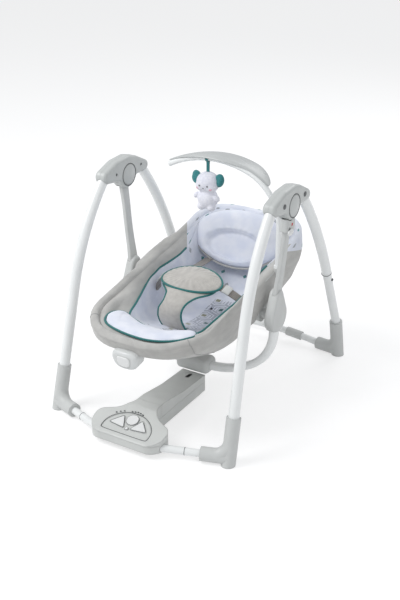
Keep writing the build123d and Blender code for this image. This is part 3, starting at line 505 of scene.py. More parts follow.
class Finishes:
    """Every finish of the swing, built once."""

    def __init__(self) -> None:
        """Build all materials."""
        # frame, hubs, console and visor: ABS from a fine spark-eroded mould, an even satin grey
        self.grey = MouldedPlastic("grey_moulded_plastic", "#CDCFCE").material()
        self.hub = MouldedPlastic("hub_grey_plastic", "#C6C9C8", 0.36).material()
        self.console = MouldedPlastic("console_plastic", "#D3D5D3", 0.4, edge_mm=4.0).material()
        self.visor = MouldedPlastic("visor_grey_plastic", "#C3C6C6", 0.3, edge_mm=0.8).material()
        # keys and caps: ABS from a smoother mould, with a clearer highlight and crisp edges
        self.panel = MouldedPlastic("panel_white_plastic", "#EDEEEE", 0.3, edge_mm=0.8).material()
        self.keys = MouldedPlastic("key_plastic", "#DCDEDE", 0.34, edge_mm=0.6).material()
        # screw heads and smoked windows: dark polypropylene; the same dark colour paints the shade in gaps and
        # grooves; the lock's mark: red ABS
        self.dark = MouldedPlastic("dark_plastic_and_painted_gap_shade", "#5A5D5F", 0.5, edge_mm=0.5).material()
        self.red = MouldedPlastic("red_marker_plastic", "#C2202A", 0.35, edge_mm=0.5).material()
        # inside: acetal gears, waxy and cream; the board's epoxy laminate, green
        self.gear = MouldedPlastic("acetal_gear_plastic", "#E8E4D8", 0.35, edge_mm=0.3).material()
        self.board = MouldedPlastic("green_board_laminate", "#2F6B4A", 0.4, edge_mm=0.3).material()
        # tubes: powder-coated steel, white and glossy; axles, motor, cells and rim tube: zinc-plated steel
        self.paint = PowderCoat("white_powder_coat", "#F3F5F5").material()
        self.steel = PlainMetal("zinc_plated_steel", "#C9CBCC").material()
        # cover and crotch pad: brushed minky, cloudy and matt
        self.minky = Minky("grey_minky", "#C3C2BF", "#B1B0AE", nap_mm=20.0).material()
        self.pad_minky = Minky("pad_grey_minky", "#C6C3BE", "#B4B1AD", nap_mm=12.0).material()
        # liner, foot panel and head support: cool white jersey, plain or printed
        self.jersey = Jersey("white_jersey", "#E9ECF6", "#DADFEE").material()
        self.pillow = Jersey("pillow_jersey", "#EDF0FA", "#E0E5F4").material()
        self.honeycomb = HoneycombJersey("honeycomb_jersey", "#E6E9F2", "#DADEEA").material()
        self.diamonds = DiamondJersey("diamond_jersey", "#E9ECF5", "#DADFEC").material()
        # piping, straps and ribbon: woven polyester, with a low gloss
        self.piping = Webbing("teal_piping", "#3F8886", "#2C6B6B", 0.9).material()
        self.grey_piping = Webbing("grey_seam_cord", "#B5B6B4", "#9A9B9A", 0.8).material()
        self.tape = Webbing("taupe_webbing", "#A9A39D", "#827D79").material()
        self.teal_tape = Webbing("teal_ribbon_tape", "#3E8E90", "#2F7375", 0.6).material()
        # toy: polyester plush with a longer pile, white, teal and pink
        self.white_plush = Minky("white_plush", "#F1F1F8", "#DCDDEA", 1.4, 6.0).material()
        self.teal_plush = Minky("teal_plush", "#4B9093", "#2F7478", 1.3, 5.0).material()
        self.pink_plush = Minky("pink_cheek_plush", "#EBC6D2", "#DDB0C0", 1.2, 5.0).material()


# ---------- mesh helpers
def curve_at(points: Sequence[Sequence[float]], share: float) -> Vector:
    """Point at a share of a smooth run through some points.

    Args:
        points: the points that the run passes.
        share: from 0 at the first point to 1 at the last.
    Returns:
        The place there.
    """
    last = len(points) - 1
    where = min(max(share, 0.0), 1.0) * last
    k = min(int(where), last - 1)
    t = where - k
    p = [Vector(points[min(max(k + j, 0), last)]) for j in (-1, 0, 1, 2)]
    return 0.5 * (2 * p[1] + (p[2] - p[0]) * t + (2 * p[0] - 5 * p[1] + 4 * p[2] - p[3]) * t ** 2
                  + (3 * p[1] - p[0] - 3 * p[2] + p[3]) * t ** 3)


def table(pairs: Sequence[tuple[float, float]], at: float) -> float:
    """Read a value from a table, straight between its rows.

    Args:
        pairs: places, from the lowest up, with their values.
        at: the place to read.
    Returns:
        The value there, or the nearest end's.
    """
    if at <= pairs[0][0]:
        return pairs[0][1]
    for (a, x), (b, y) in zip(pairs, pairs[1:]):
        if at <= b:
            return x + (y - x) * (at - a) / (b - a)
    return pairs[-1][1]


def ease(share: float) -> float:
    """Smooth step from 0 to 1."""
    t = min(max(share, 0.0), 1.0)
    return t * t * (3 - 2 * t)


def ramp(value: float, low: float, high: float) -> float:
    """Smooth step from 0 where the value is low to 1 where it is high, which may be the smaller."""
    return ease((value - low) / (high - low))


def hump(value: float, span: Span) -> float:
    """Smooth hump: 0 outside a span, and 1 between its rise and its fall."""
    return ramp(value, span[0], span[1]) * ramp(value, span[3], span[2])


def ripple(place: Vector, size: float, depth: float) -> float:
    """Soft unevenness of cloth at a place, for waves of a size and depth."""
    return noise.noise(place / size) * depth


def on_side(place: Point, side: int) -> Vector:
    """Take a place or a direction on the right (side 1) or its mirror on the left (side -1)."""
    return Vector((side * place[0], *place[1:]))


def circle(middle: Vector, across: Vector, up: Vector, radius: float, step: int) -> list[Vector]:
    """Lay points round a circle.

    Args:
        middle: its centre, in millimetres.
        across: direction of its first point, of length 1.
        up: direction in its plane square to that, of length 1.
        radius: its radius, in millimetres.
        step: degrees from one point to the next.
    Returns:
        The places, in metres.
    """
    turns = [math.radians(a) for a in range(0, 360, step)]
    return [(middle + across * radius * math.cos(a) + up * radius * math.sin(a)) * MM for a in turns]


@dataclass
class Piece:
    """A mesh being made, and how it ends as an object."""

    name: str
    body: Body
    slot: Slot
    finishes: Sequence[Material]
    bm: bmesh.types.BMesh = field(default_factory=bmesh.new)

    def grid(self, across: int, along: int, place: Place, lay: Optional[Flat] = None,
             choose: Optional[Choice] = None, round_about: bool = False) -> None:
        """Lay a grid over a surface.

        Args:
            across: cells along the first share.
            along: cells along the second share.
            place: where a pair of shares from 0 to 1 lies.
            lay: the flat cloth place of a pair of shares, in metres.
            choose: number of the finish of a pair of shares.
            round_about: whether the first and last columns meet.
        """
        made = bmesh.ops.create_grid(self.bm, x_segments=across, y_segments=along, size=1.0)["verts"]
        shares = {v: ((v.co.x + 1) / 2, (v.co.y + 1) / 2) for v in made}
        flat = self.bm.loops.layers.uv.get("cloth") or self.bm.loops.layers.uv.new("cloth")
        for face in {f for v in made for f in v.link_faces}:
            u = sum(shares[v][0] for v in face.verts) / len(face.verts)
            w = sum(shares[v][1] for v in face.verts) / len(face.verts)
            face.material_index = choose(u, w) if choose else 0
            for loop in face.loops:
                loop[flat].uv = lay(*shares[loop.vert]) if lay else shares[loop.vert]
        for vert in made:
            vert.co = place(*shares[vert])
        if round_about:
            bmesh.ops.remove_doubles(self.bm, verts=made, dist=WELD)

    def cut(self, place: Vector, facing: Vector) -> None:
        """Cut every face along a plane, so that a seam can follow it."""
        everything = [*self.bm.verts, *self.bm.edges, *self.bm.faces]
        bmesh.ops.bisect_plane(self.bm, geom=everything, plane_co=place, plane_no=facing)

    def ball(self, centre: Sequence[float], half: Sequence[float], turn: Matrix = Matrix(), finish: int = 0,
             rows: int = 20) -> None:
        """Add an ellipsoid.

        Args:
            centre: its middle.
            half: its three half sizes.
            turn: how it is turned.
            finish: number of its finish.
            rows: faces from pole to pole.
        """
        shape = Matrix.Translation(Vector(centre)) @ turn @ Matrix.Diagonal((*half, 1.0))
        made = bmesh.ops.create_uvsphere(self.bm, u_segments=2 * rows, v_segments=rows, radius=1.0, matrix=shape)
        for face in {f for v in made["verts"] for f in v.link_faces}:
            face.material_index = finish

    def finish(self, replaces: Sequence[str] = (), thick: float = 0.0, levels: int = 0,
               fill: Optional[float] = None) -> bpy.types.Object:
        """Close the mesh, make its object and hang it on its body.

        Args:
            replaces: CAD nodes that it stands for.
            thick: wall given to an open surface, in metres.
            levels: subdivision levels.
            fill: not used.
        Returns:
            The finished object.
        """
        bmesh.ops.remove_doubles(self.bm, verts=self.bm.verts, dist=WELD)
        bmesh.ops.recalc_face_normals(self.bm, faces=self.bm.faces)
        mesh = bpy.data.meshes.new(self.name)
        self.bm.to_mesh(mesh)
        self.bm.free()
        for material in self.finishes:
            mesh.materials.append(material)
        piece = shown(self.name, mesh)
        if thick:
            wall = piece.modifiers.new("wall", "SOLIDIFY")
            wall.thickness, wall.offset = thick, 0.0
        if levels:
            subdivide(piece, levels)
        settle(piece, self.body, self.slot, replaces)
        return piece


def shown(name: str, mesh: bpy.types.Mesh) -> bpy.types.Object:
    """Smooth a mesh and put it in the scene.

    Args:
        name: the object's name.
        mesh: its mesh.
    Returns:
        The new object.
    """
    mesh.polygons.foreach_set("use_smooth", [True] * len(mesh.polygons))
    piece = bpy.data.objects.new(name, mesh)
    bpy.context.scene.collection.objects.link(piece)
    return piece


def subdivide(piece: bpy.types.Object, levels: int) -> None:
    """Give a piece a subdivision, the same in the view and in the render."""
    smooth = piece.modifiers.new("smooth", "SUBSURF")
    smooth.levels = smooth.render_levels = levels


def settle(piece: bpy.types.Object, body: Body, slot: Slot, replaces: Sequence[str] = ()) -> None:
    """Hang a piece on its body, hide the CAD nodes that it stands for, and report it.

    Args:
        piece: the finished object.
        body: what it rides on.
        slot: not used.
        replaces: CAD nodes that it stands for.
    """
    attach(piece, body.value)
    if replaces:
        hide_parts(*replaces)
    LOG.info("%s rides on %s, %d faces", piece.name, body.value, len(piece.data.polygons))


def cord_piece(name: str, points: Sequence[Vector], radius: float, finish: Material, body: Body, slot: Slot,
               closed: bool = False) -> None:
    """Make a round cord, such as piping or a dark line of painted shade in a joint, along a run of points.

    Args:
        name: the piece's name.
        points: world places that shape the run.
        radius: half the cord's thickness, in millimetres.
        finish: its material.
        body: what it rides on.
        slot: the record's slot.
        closed: whether it meets itself.
    """
    line = bpy.data.curves.new(name, "CURVE")
    line.dimensions = "3D"
    line.bevel_depth, line.bevel_resolution, line.use_fill_caps = radius * MM, 2, True
    run = line.splines.new("NURBS")
    run.points.add(len(points) - 1)
    for spot, place in zip(run.points, points):
        spot.co = (*place, 1.0)
    run.use_cyclic_u, run.use_endpoint_u, run.order_u, run.resolution_u = closed, not closed, 3, 3
    holder = bpy.data.objects.new(name + "_line", line)
    bpy.context.scene.collection.objects.link(holder)
    bpy.context.view_layer.update()
    mesh = bpy.data.meshes.new_from_object(holder.evaluated_get(bpy.context.evaluated_depsgraph_get()))
    bpy.data.objects.remove(holder)
    mesh.name = name
    mesh.materials.clear()
    mesh.materials.append(finish)
    settle(shown(name, mesh), body, slot)


def swell(piece: bpy.types.Object, cap: float, held: Callable[[Vector], bool], voxel: float = 0.005,
          pressure: float = 4.0, steps: int = 20) -> None:
    """Fill a padded piece by cloth pressure, so that its cover tightens and crowns.

    Args:
        piece: closed mesh object, before its subdivision.
        cap: furthest that a point may move, in metres.
        held: tells which points a seam holds still.
        voxel: size of the even mesh it is remade with, in metres.
        pressure: pressure of the filling.
        steps: frames that it settles for.
    """
    scene = bpy.context.scene
    for modifier in list(piece.modifiers):
        piece.modifiers.remove(modifier)
    even = piece.modifiers.new("even", "REMESH")
    even.mode, even.voxel_size = "VOXEL", voxel
    finish = piece.data.materials[0]
    mesh = bpy.data.meshes.new_from_object(piece.evaluated_get(bpy.context.evaluated_depsgraph_get()))
    piece.modifiers.remove(even)
    piece.data = mesh
    mesh.materials.clear()
    mesh.materials.append(finish)
    rest = [v.co.copy() for v in mesh.vertices]
    group = piece.vertex_groups.new(name="held")
    group.add([v.index for v in mesh.vertices if held(v.co)], 1.0, "REPLACE")
    cloth = piece.modifiers.new("cloth", "CLOTH")
    cloth.settings.use_pressure = True
    cloth.settings.uniform_pressure_force = pressure
    cloth.settings.effector_weights.gravity = 0.0
    cloth.settings.vertex_group_mass = "held"
    for step in range(1, steps + 1):
        scene.frame_set(step)
    filled = piece.evaluated_get(bpy.context.evaluated_depsgraph_get()).to_mesh()
    moved = [v.co.copy() for v in filled.vertices]
    piece.modifiers.remove(cloth)
    for vert, start, end in zip(mesh.vertices, rest, moved):
        step = end - start
        vert.co = start + (step if step.length <= cap else step.normalized() * cap)
    scene.frame_set(1)
    piece.vertex_groups.clear()
    mesh.polygons.foreach_set("use_smooth", [True] * len(mesh.polygons))
    subdivide(piece, 1)


# ---------- seat
@dataclass(frozen=True)
class Level:
    """Outline of the seat at one height: foot end, head end, half width and corner radii."""

    foot: float
    head: float
    half: float
    foot_r: float
    head_r: float
    # shares of the way round: half the foot end, its corner, the side, the head's corner, half the head end
    spans: tuple[float, ...] = (0.05, 0.11, 0.20, 0.09, 0.05)

    def point(self, u: float) -> tuple[float, float]:
        """Place on the outline.

        Args:
            u: share of the way round, from the middle of the foot end by the right.
        Returns:
            The place across and along the seat.
        """
        side = 1 if u <= 0.5 else -1
        w = min(u, 1 - u)
        spans = self.spans
        if w <= spans[0]:
            x, v = (self.half - self.foot_r) * w / spans[0], self.foot
        elif w <= sum(spans[:2]):
            turn = math.pi / 2 * (w - spans[0]) / spans[1]
            x = self.half - self.foot_r * (1 - math.sin(turn))
            v = self.foot + self.foot_r * (1 - math.cos(turn))
        elif w <= sum(spans[:3]):
            share = (w - sum(spans[:2])) / spans[2]
            x = self.half
            v = self.foot + self.foot_r + share * (self.head - self.head_r - self.foot - self.foot_r)
        elif w <= sum(spans[:4]):
            turn = math.pi / 2 * (w - sum(spans[:3])) / spans[3]
            x = self.half - self.head_r * (1 - math.cos(turn))
            v = self.head - self.head_r * (1 - math.sin(turn))
        else:
            x, v = (self.half - self.head_r) * (0.5 - w) / spans[4], self.head
        return side * x, v


@dataclass
class SeatPart:
    """Something on the seat, in the seat's own millimetres: across, along to the head, and up from the rim plane."""

    looks: Finishes
    tilt: float = 9.6  # lean of the seat at rest, in degrees
    axis_y: float = 14.0  # recline axis, where the seat's own frame starts
    axis_z: float = 264.0

    def world(self) -> Matrix:
        """Seat millimetres to world metres."""
        turn = Matrix.Rotation(math.radians(self.tilt), 4, "X")
        return Matrix.Translation((0, self.axis_y * MM, self.axis_z * MM)) @ turn @ Matrix.Scale(MM, 4)

    def at(self, x: float, v: float, n: float) -> Vector:
        """World place of a point given in seat millimetres."""
        return self.world() @ Vector((x, v, n))

    def facing(self, x: float, v: float, n: float) -> Vector:
        """World direction of a direction given in the seat's frame."""
        return self.world().to_3x3() @ Vector((x, v, n))

    def cord(self, name: str, points: Sequence[Vector], radius: float, finish: Material,
             slot: Slot = Slot.RIBBON, closed: bool = False) -> None:
        """Sew a cord of a radius in millimetres to the seat, through some world places."""
        cord_piece(name, points, radius, finish, Body.SEAT, slot, closed)


@dataclass
class Shell(SeatPart):
    """Padded cover of the seat, and the soft liner inside it."""

    # a height, with the outline's foot end, head end and half width there
    sections: tuple[tuple[float, float, float, float], ...] = (
        (-105.0, -40.0, 110.0, 50.0), (-95.0, -80.0, 150.0, 80.0), (-70.0, -125.0, 250.0, 125.0),
        (-40.0, -200.0, 290.0, 150.0), (-22.0, -235.0, 305.0, 160.0), (18.0, -300.0, 325.0, 171.0),
        (50.0, -345.0, 338.0, 175.0), (112.0, -362.0, 352.0, 171.0))
    foot_corner: tuple[float, float] = (140.0, 0.8)  # largest radius, and largest share of the half width
    head_corner: tuple[float, float] = (95.0, 0.55)
    least_corner: float = 6.0
    rim: float = 87.0
    head_rise: float = 13.0  # the rim climbs by this between two places
    rise_along: tuple[float, float] = (170.0, 345.0)
    roll: float = 12.0  # radius of the rolled rim
    rim_proud: float = 3.0
    columns: int = 216
    rows: int = 110
    liner_rows: int = 56
    # the cover's shares from its lowest middle: outer wall, rolled rim, wing; the rest is under the liner
    wall_end: float = 0.42
    roll_end: float = 0.60
    wing_end: float = 0.80
    floor_share: float = 0.06  # share of the wall that is the flat bottom
    wall_heights: tuple[tuple[float, float], ...] = ((0.0, -106.0), (0.06, -105.0), (0.5, -22.0), (0.8, 50.0))
    middle_v: float = 35.0  # the bottom's middle, along the seat
    wall_bulge: float = 3.0
    bulge_up: tuple[float, float] = (-20.0, 90.0)
    climb_from: float = 50.0
    # the side bulges over the bracket behind it
    side_bulge: float = 14.0
    side_along: Span = (-62.0, -22.0, 105.0, 150.0)
    side_up: tuple[float, float] = (-60.0, 0.0)
    # the rim is slimmer where the arms pass
    slim_across: tuple[float, float] = (60.0, 130.0)
    slim_along: Span = (-320.0, -230.0, 180.0, 240.0)
    slim_roll: float = 6.5
    slim_height: float = 2.0
    # the wing inside the rim crowns, and has a ridge at the foot end
    wing_foot: tuple[float, float] = (-165.0, -235.0)
    wing_crown: float = 0.17  # share of the wing's width
    wing_up: float = 0.75
    wing_in: float = 0.35
    wing_sides: float = 40.0  # farther out than this, a wing leans in across the seat
    foot_ridge: float = 10.0
    under_gap: tuple[float, float] = (7.0, 5.0)  # the cover's end lies this far under the liner,
    under_draw: float = 0.08  # and this much wider, both within a short way
    under_ways: tuple[float, float] = (0.04, 0.03)
    cover_ripples: tuple[tuple[float, float], ...] = ((70.0, 2.4), (26.0, 0.9))  # size and depth
    smooth_share: float = 0.1  # the bottom is smooth up to this share
    ripple_lean: float = 0.35  # ripples push out sideways more than lengthways
    cover_flat: tuple[float, float] = (1.55, 0.62)  # flat size of the cover's cloth, in metres
    # the head seam passes a point on each side, square to a direction
    seam_at: Point = (172.0, 221.0, 92.0)
    seam_facing: Point = (1582.0, 968.0, -184.0)
    white_from: float = 48.0  # printed cloth ends here on the outside,
    white_slope: float = 0.45  # and slopes up to the foot end
    white_at: tuple[float, float] = (168.0, 260.0)
    # the liner: foot end, head end, half width, height, and its rise at the head, from the piping down
    liner_levels: tuple[tuple[float, float, float, float, float], ...] = (
        (-246.0, 326.0, 141.0, 50.0, 44.0), (-236.0, 318.0, 138.5, 41.0, 46.0), (-212.0, 300.0, 136.0, 24.0, 50.0),
        (-168.0, 276.0, 128.0, 0.0, 45.0), (-112.0, 248.0, 114.0, -24.0, 33.0), (-72.0, 208.0, 90.0, -43.0, 18.0),
        (-36.0, 145.0, 60.0, -56.0, 4.0), (0.0, 85.0, 26.0, -62.0, 0.0), (36.0, 44.0, 4.0, -64.0, 0.0))
    liner_corners: tuple[tuple[float, float], ...] = ((0.45, 60.0), (0.6, 85.0))
    liner_rise: tuple[float, float] = (136.0, 318.0)
    liner_taper: tuple[tuple[float, float], ...] = (
        (-246.0, 0.63), (-216.0, 0.645), (-163.0, 0.723), (-119.0, 0.81), (-71.0, 0.915), (-38.0, 0.98), (17.0, 1.0),
        (57.0, 0.945), (100.0, 0.9), (150.0, 0.92), (220.0, 1.02), (330.0, 1.04))
    right_share: float = 0.62  # the right side gives back this much of the taper
    right_from: tuple[float, float] = (60.0, 0.0)
    liner_low: float = -64.0
    liner_middle: float = 30.0
    liner_ripple: tuple[float, float] = (40.0, 2.0)  # size and depth
    liner_fold: tuple[float, float, float] = (2.4, 13.0, 110.0)  # depth, pitch, and where it is full
    fold_waver: tuple[float, float] = (2.2, 37.0)
    fold_reach: float = 1.6  # folds end at the way down divided by this
    liner_open: tuple[float, float, float] = (0.7, 60.0, 1.12)  # its flat cloth, wider up the walls
    liner_wall: float = 5.0
    print_above: float = 84.0  # places along the seat where the liner's cloth changes
    print_below: float = -180.0
    plain_left: float = -12.0
    # the piping between wings and liner: share where it starts, share it covers, and its ends along the seat
    piping_run: tuple[float, float] = (0.088, 0.3)
    piping_along: tuple[float, float] = (-228.0, 140.0)
    piping_r: float = 3.0
    piping_up: float = 2.0
    foot_seam: tuple[float, float, float] = (0.118, 0.17, 0.42)  # share round the seat, start and length
    seam_r: float = 1.0

    def edge(self) -> float:
        """Height where the outer wall meets the rolled rim."""
        return self.rim - self.roll + self.rim_proud

    def level(self, n: float, inset: float) -> Level:
        """Outline of the shell at a height.

        Args:
            n: the height.
            inset: how far the outline is drawn in.
        Returns:
            The outline.
        """
        foot, head, half = (table([(s[0], s[k]) for s in self.sections], n) for k in (1, 2, 3))
        radii = [max(min(most, share * half) - inset, self.least_corner)
                 for most, share in (self.foot_corner, self.head_corner)]
        return Level(foot + inset, head - inset, half - inset, *radii)

    def rim_at(self, v: float) -> float:
        """Height of the rim at a place along the seat."""
        return self.rim + self.head_rise * ramp(v, *self.rise_along)

    def inner(self, u: float, drop: int = 0) -> Point:
        """Point of the liner's plain form.

        Args:
            u: share round the seat.
            drop: number of the level, from the piping down.
        Returns:
            Its seat place.
        """
        foot, head, half, n, rise = self.liner_levels[drop]
        radii = [min(half * share, most) for share, most in self.liner_corners]
        x, v = Level(foot, head, half, *radii).point(u)
        taper = table(self.liner_taper, v)
        if x > 0:
            taper += (1.0 - taper) * self.right_share * ramp(v, *self.right_from)
        return x * taper, v, n + rise * ramp(v, *self.liner_rise)

    def below(self, u: float, w: float) -> Vector:
        """Point of the liner's plain form between its levels.

        Args:
            u: share round the seat.
            w: share of the way from the piping to the lowest middle.
        Returns:
            Its seat place.
        """
        steps = len(self.liner_levels) - 1
        where = min(max(w, 0.0) * steps, steps - 1e-6)  # just short of the last level
        k, t = int(where), where - int(where)
        return Vector(self.inner(u, k)).lerp(Vector(self.inner(u, k + 1)), t)

    def side_swell(self, v: float, n: float) -> float:
        """How far the cover's side bulges over the bracket behind it, along and up the seat."""
        return self.side_bulge * hump(v, self.side_along) * ramp(n, *self.side_up)

    def wall_point(self, u: float, t: float) -> Point:
        """Point of the cover's bottom and outer wall.

        Args:
            u: share round the seat.
            t: share of the way from the bottom's middle to the rim.
        Returns:
            Its seat place.
        """
        edge = self.edge()
        n = table((*self.wall_heights, (1.0, edge)), t)
        shrink = min(t / self.floor_share, 1.0)
        bulge = self.wall_bulge * math.sin(math.pi * ramp(n, *self.bulge_up)) if n > self.bulge_up[0] else 0.0
        x, v = self.level(n, -bulge).point(u)
        x += math.copysign(self.side_swell(v, n), x)
        x, v = x * shrink, self.middle_v + (v - self.middle_v) * shrink
        climb = ramp(n, self.climb_from, edge) if n > self.climb_from else 0.0
        return x, v, n + (self.rim_at(v) - self.rim) * climb

    def slimness(self, u: float) -> float:
        """How slim the rim is at a share round the seat, 1 where the arms pass."""
        x, v = self.level(self.rim, 0.0).point(u)
        return ramp(x, *self.slim_across) * hump(v, self.slim_along)

    def roll_point(self, u: float, t: float) -> Point:
        """Point of the rolled rim.

        Args:
            u: share round the seat.
            t: share of the way over it, from outside to inside.
        Returns:
            Its seat place.
        """
        slim = self.slimness(u)
        turn = math.pi * t
        radius = self.roll - self.slim_roll * slim
        x, v = self.level(self.rim, radius * (1 - math.cos(turn))).point(u)
        x += math.copysign(self.side_swell(v, self.edge()) * 0.5 * (1 + math.cos(turn)), x)
        height = (self.roll - self.slim_height * slim) * math.sin(turn)
        return x, v, self.rim_at(v) - self.rim + self.edge() + height

    def wing_point(self, u: float, t: float) -> Point:
        """Point of the wing between the rim and the piping.

        Args:
            u: share round the seat.
            t: share of the way in from the rim.
        Returns:
            Its seat place.
        """
        slim = self.slimness(u)
        x, v = self.level(self.rim, 2 * (self.roll - self.slim_roll * slim)).point(u)
        start, end = Vector((x, v, self.rim_at(v) - self.rim + self.edge())), Vector(self.inner(u))
        foot = ramp(v, *self.wing_foot)
        crown = math.sin(math.pi * t) * self.wing_crown * (1 - foot) * (1 - slim) * (end - start).length
        inward = Vector((-x, 0.0, 0.0)).normalized() if abs(x) > self.wing_sides else Vector((0, 1, 0))
        ridge = self.foot_ridge * foot * math.sin(math.pi * min(t / 0.5, 1.0))
        up = Vector((0, 0, crown * self.wing_up + ridge))
        return tuple(start.lerp(end, t) + up + inward * crown * self.wing_in)

    def under_point(self, u: float, past: float) -> Point:
        """Point of the cover under the liner.

        Args:
            u: share round the seat.
            past: share of the cover past the piping.
        Returns:
            Its seat place.
        """
        under = self.below(u, past / (1 - self.wing_end))
        sink, draw = self.under_ways
        away = Vector((under.x, under.y - self.liner_middle, 0.0)) * self.under_draw * ease(past / draw)
        gap, deeper = self.under_gap
        return tuple(under + away - Vector((0, 0, gap + deeper * ease(past / sink))))

    def band(self, u: float, w: float) -> Point:
        """Point of the cover.

        Args:
            u: share round the seat.
            w: share from its lowest middle, out, over the rim and in.
        Returns:
            Its seat place.
        """
        if w <= self.wall_end:
            return self.wall_point(u, w / self.wall_end)
        if w <= self.roll_end:
            return self.roll_point(u, (w - self.wall_end) / (self.roll_end - self.wall_end))
        if w <= self.wing_end:
            return self.wing_point(u, (w - self.roll_end) / (self.wing_end - self.roll_end))
        return self.under_point(u, w - self.wing_end)

    def cover_point(self, u: float, w: float) -> Vector:
        """World place of the cover, with the unevenness of stuffed cloth.

        Args:
            u: share round the seat.
            w: share from its lowest middle, out, over the rim and in.
        Returns:
            The place.
        """
        p = Vector(self.band(u, w))
        if w > self.smooth_share:
            out = Vector((p.x, p.y * self.ripple_lean, 0)).normalized()
            p += out * sum(ripple(p, size, depth) for size, depth in self.cover_ripples)
        return self.world() @ p

    def lay_cover(self, u: float, w: float) -> tuple[float, float]:
        """Flat cloth place of the cover."""
        return u * self.cover_flat[0], w * self.cover_flat[1]

    def cover_cloth(self, p: Vector) -> CoverCloth:
        """Choose the cover's cloth.

        Args:
            p: a seat place on it.
        Returns:
            Printed jersey past the head seam, and minky elsewhere.
        """
        a, b, c = self.seam_facing
        reach, seam_v, seam_n = self.seam_at
        past = a * (reach - abs(p.x)) + b * (p.y - seam_v) + c * (p.z - seam_n)
        outside, bend = self.white_at
        if abs(p.x) > outside:
            past = p.z - self.white_from + self.white_slope * (p.y - bend)
        return CoverCloth.DIAMONDS if past > 0 and p.z > self.white_from else CoverCloth.MINKY

    def cover(self) -> None:
        """Build the padded outer shell: bottom, outer wall, rolled rim and the wings inside it."""
        piece = Piece("seat_cover_padded", Body.SEAT, Slot.GREY_FABRIC, (self.looks.minky, self.looks.diamonds))
        piece.grid(self.columns, self.rows, self.cover_point, self.lay_cover, round_about=True)
        a, b, c = self.seam_facing
        reach, seam_v, seam_n = self.seam_at
        outside, bend = self.white_at
        for side in (-1, 1):
            piece.cut(self.at(side * reach, seam_v, seam_n), self.facing(-side * a, b, c))
            piece.cut(self.at(side * outside, 0.0, 0.0), self.facing(1, 0, 0))
        piece.cut(self.at(0.0, 0.0, self.white_from), self.facing(0, 0, 1))
        piece.cut(self.at(0.0, bend, self.white_from), self.facing(0, self.white_slope, 1))
        back = self.world().inverted()
        for face in piece.bm.faces:
            face.material_index = self.cover_cloth(back @ face.calc_center_median()).value
        piece.finish(("seat_cover",), fill=0.7)

    def liner_point(self, u: float, w: float) -> Vector:
        """World place of the liner, with soft folds on its walls.

        Args:
            u: share round the seat.
            w: share of the way from the piping to the lowest middle.
        Returns:
            The place.
        """
        p = self.below(u, w)
        wall = math.sin(math.pi * min(w * self.fold_reach, 1.0))
        inward = Vector((-p.x, self.liner_middle - p.y, 0)).normalized()
        (depth, pitch, full), (waver, every) = self.liner_fold, self.fold_waver
        fold = wall * (depth * math.sin(p.y / pitch + waver * math.sin(p.y / every)) * ease(abs(p.x) / full))
        return self.world() @ (p + inward * (fold + ripple(p, *self.liner_ripple)))

    def lay_liner(self, u: float, w: float) -> tuple[float, float]:
        """Flat cloth place of the liner, opened out so that its walls aren't squeezed.

        Args:
            u: share round the seat.
            w: share of the way from the piping to the lowest middle.
        Returns:
            The flat place, in metres.
        """
        x, v, n = self.below(u, w)
        side = math.copysign(1.0, x) if abs(x) > 1 else 0.0
        share, full, stretch = self.liner_open
        return (x + side * share * (n - self.liner_low) * ease(abs(x) / full)) * MM, v * stretch * MM

    def liner_cloth(self, u: float, w: float) -> int:
        """Choose the liner's cloth.

        Args:
            u: share round the seat.
            w: share of the way from the piping to the lowest middle.
        Returns:
            Number of sparse diamonds up the back and by the left foot, plain on the left, honeycomb on the seat.
        """
        x, v, _ = self.below(u, w)
        if v > self.print_above:
            return LinerCloth.DIAMONDS.value
        if x < self.plain_left:
            return (LinerCloth.DIAMONDS if v < self.print_below else LinerCloth.PLAIN).value
        return LinerCloth.HONEYCOMB.value

    def liner(self) -> None:
        """Build the soft liner from the piping down to the bottom of the seat."""
        looks = (self.looks.jersey, self.looks.honeycomb, self.looks.diamonds)
        piece = Piece("seat_liner_padded", Body.SEAT, Slot.WHITE_FABRIC, looks)
        piece.grid(self.columns, self.liner_rows, self.liner_point, self.lay_liner, self.liner_cloth, True)
        piece.finish(("seat_liner",), thick=self.liner_wall * MM, levels=1, fill=0.4)

    def wing_piping(self) -> None:
        """Sew the teal piping where the wings meet the liner."""
        first, length = self.piping_run
        low, high = self.piping_along
        for name, side in (("right", 1), ("left", -1)):
            shares = [first + length * k / 90 for k in range(91)]
            run = [self.inner(share if side > 0 else 1 - share) for share in shares]
            points = [self.at(x, v, n) + Vector((0, 0, self.piping_up * MM)) for x, v, n in run if low < v < high]
            self.cord(f"wing_piping_{name}", points, self.piping_r, self.looks.piping)

    def foot_seams(self) -> None:
        """Sew the cover's seams at the corners of its foot end."""
        u, first, length = self.foot_seam
        for mark, share in (("right", u), ("left", 1 - u)):
            points = [self.cover_point(share, first + length * k / 50) for k in range(51)]
            self.cord(f"foot_seam_{mark}", points, self.seam_r, self.looks.grey_piping, Slot.GREY_FABRIC)


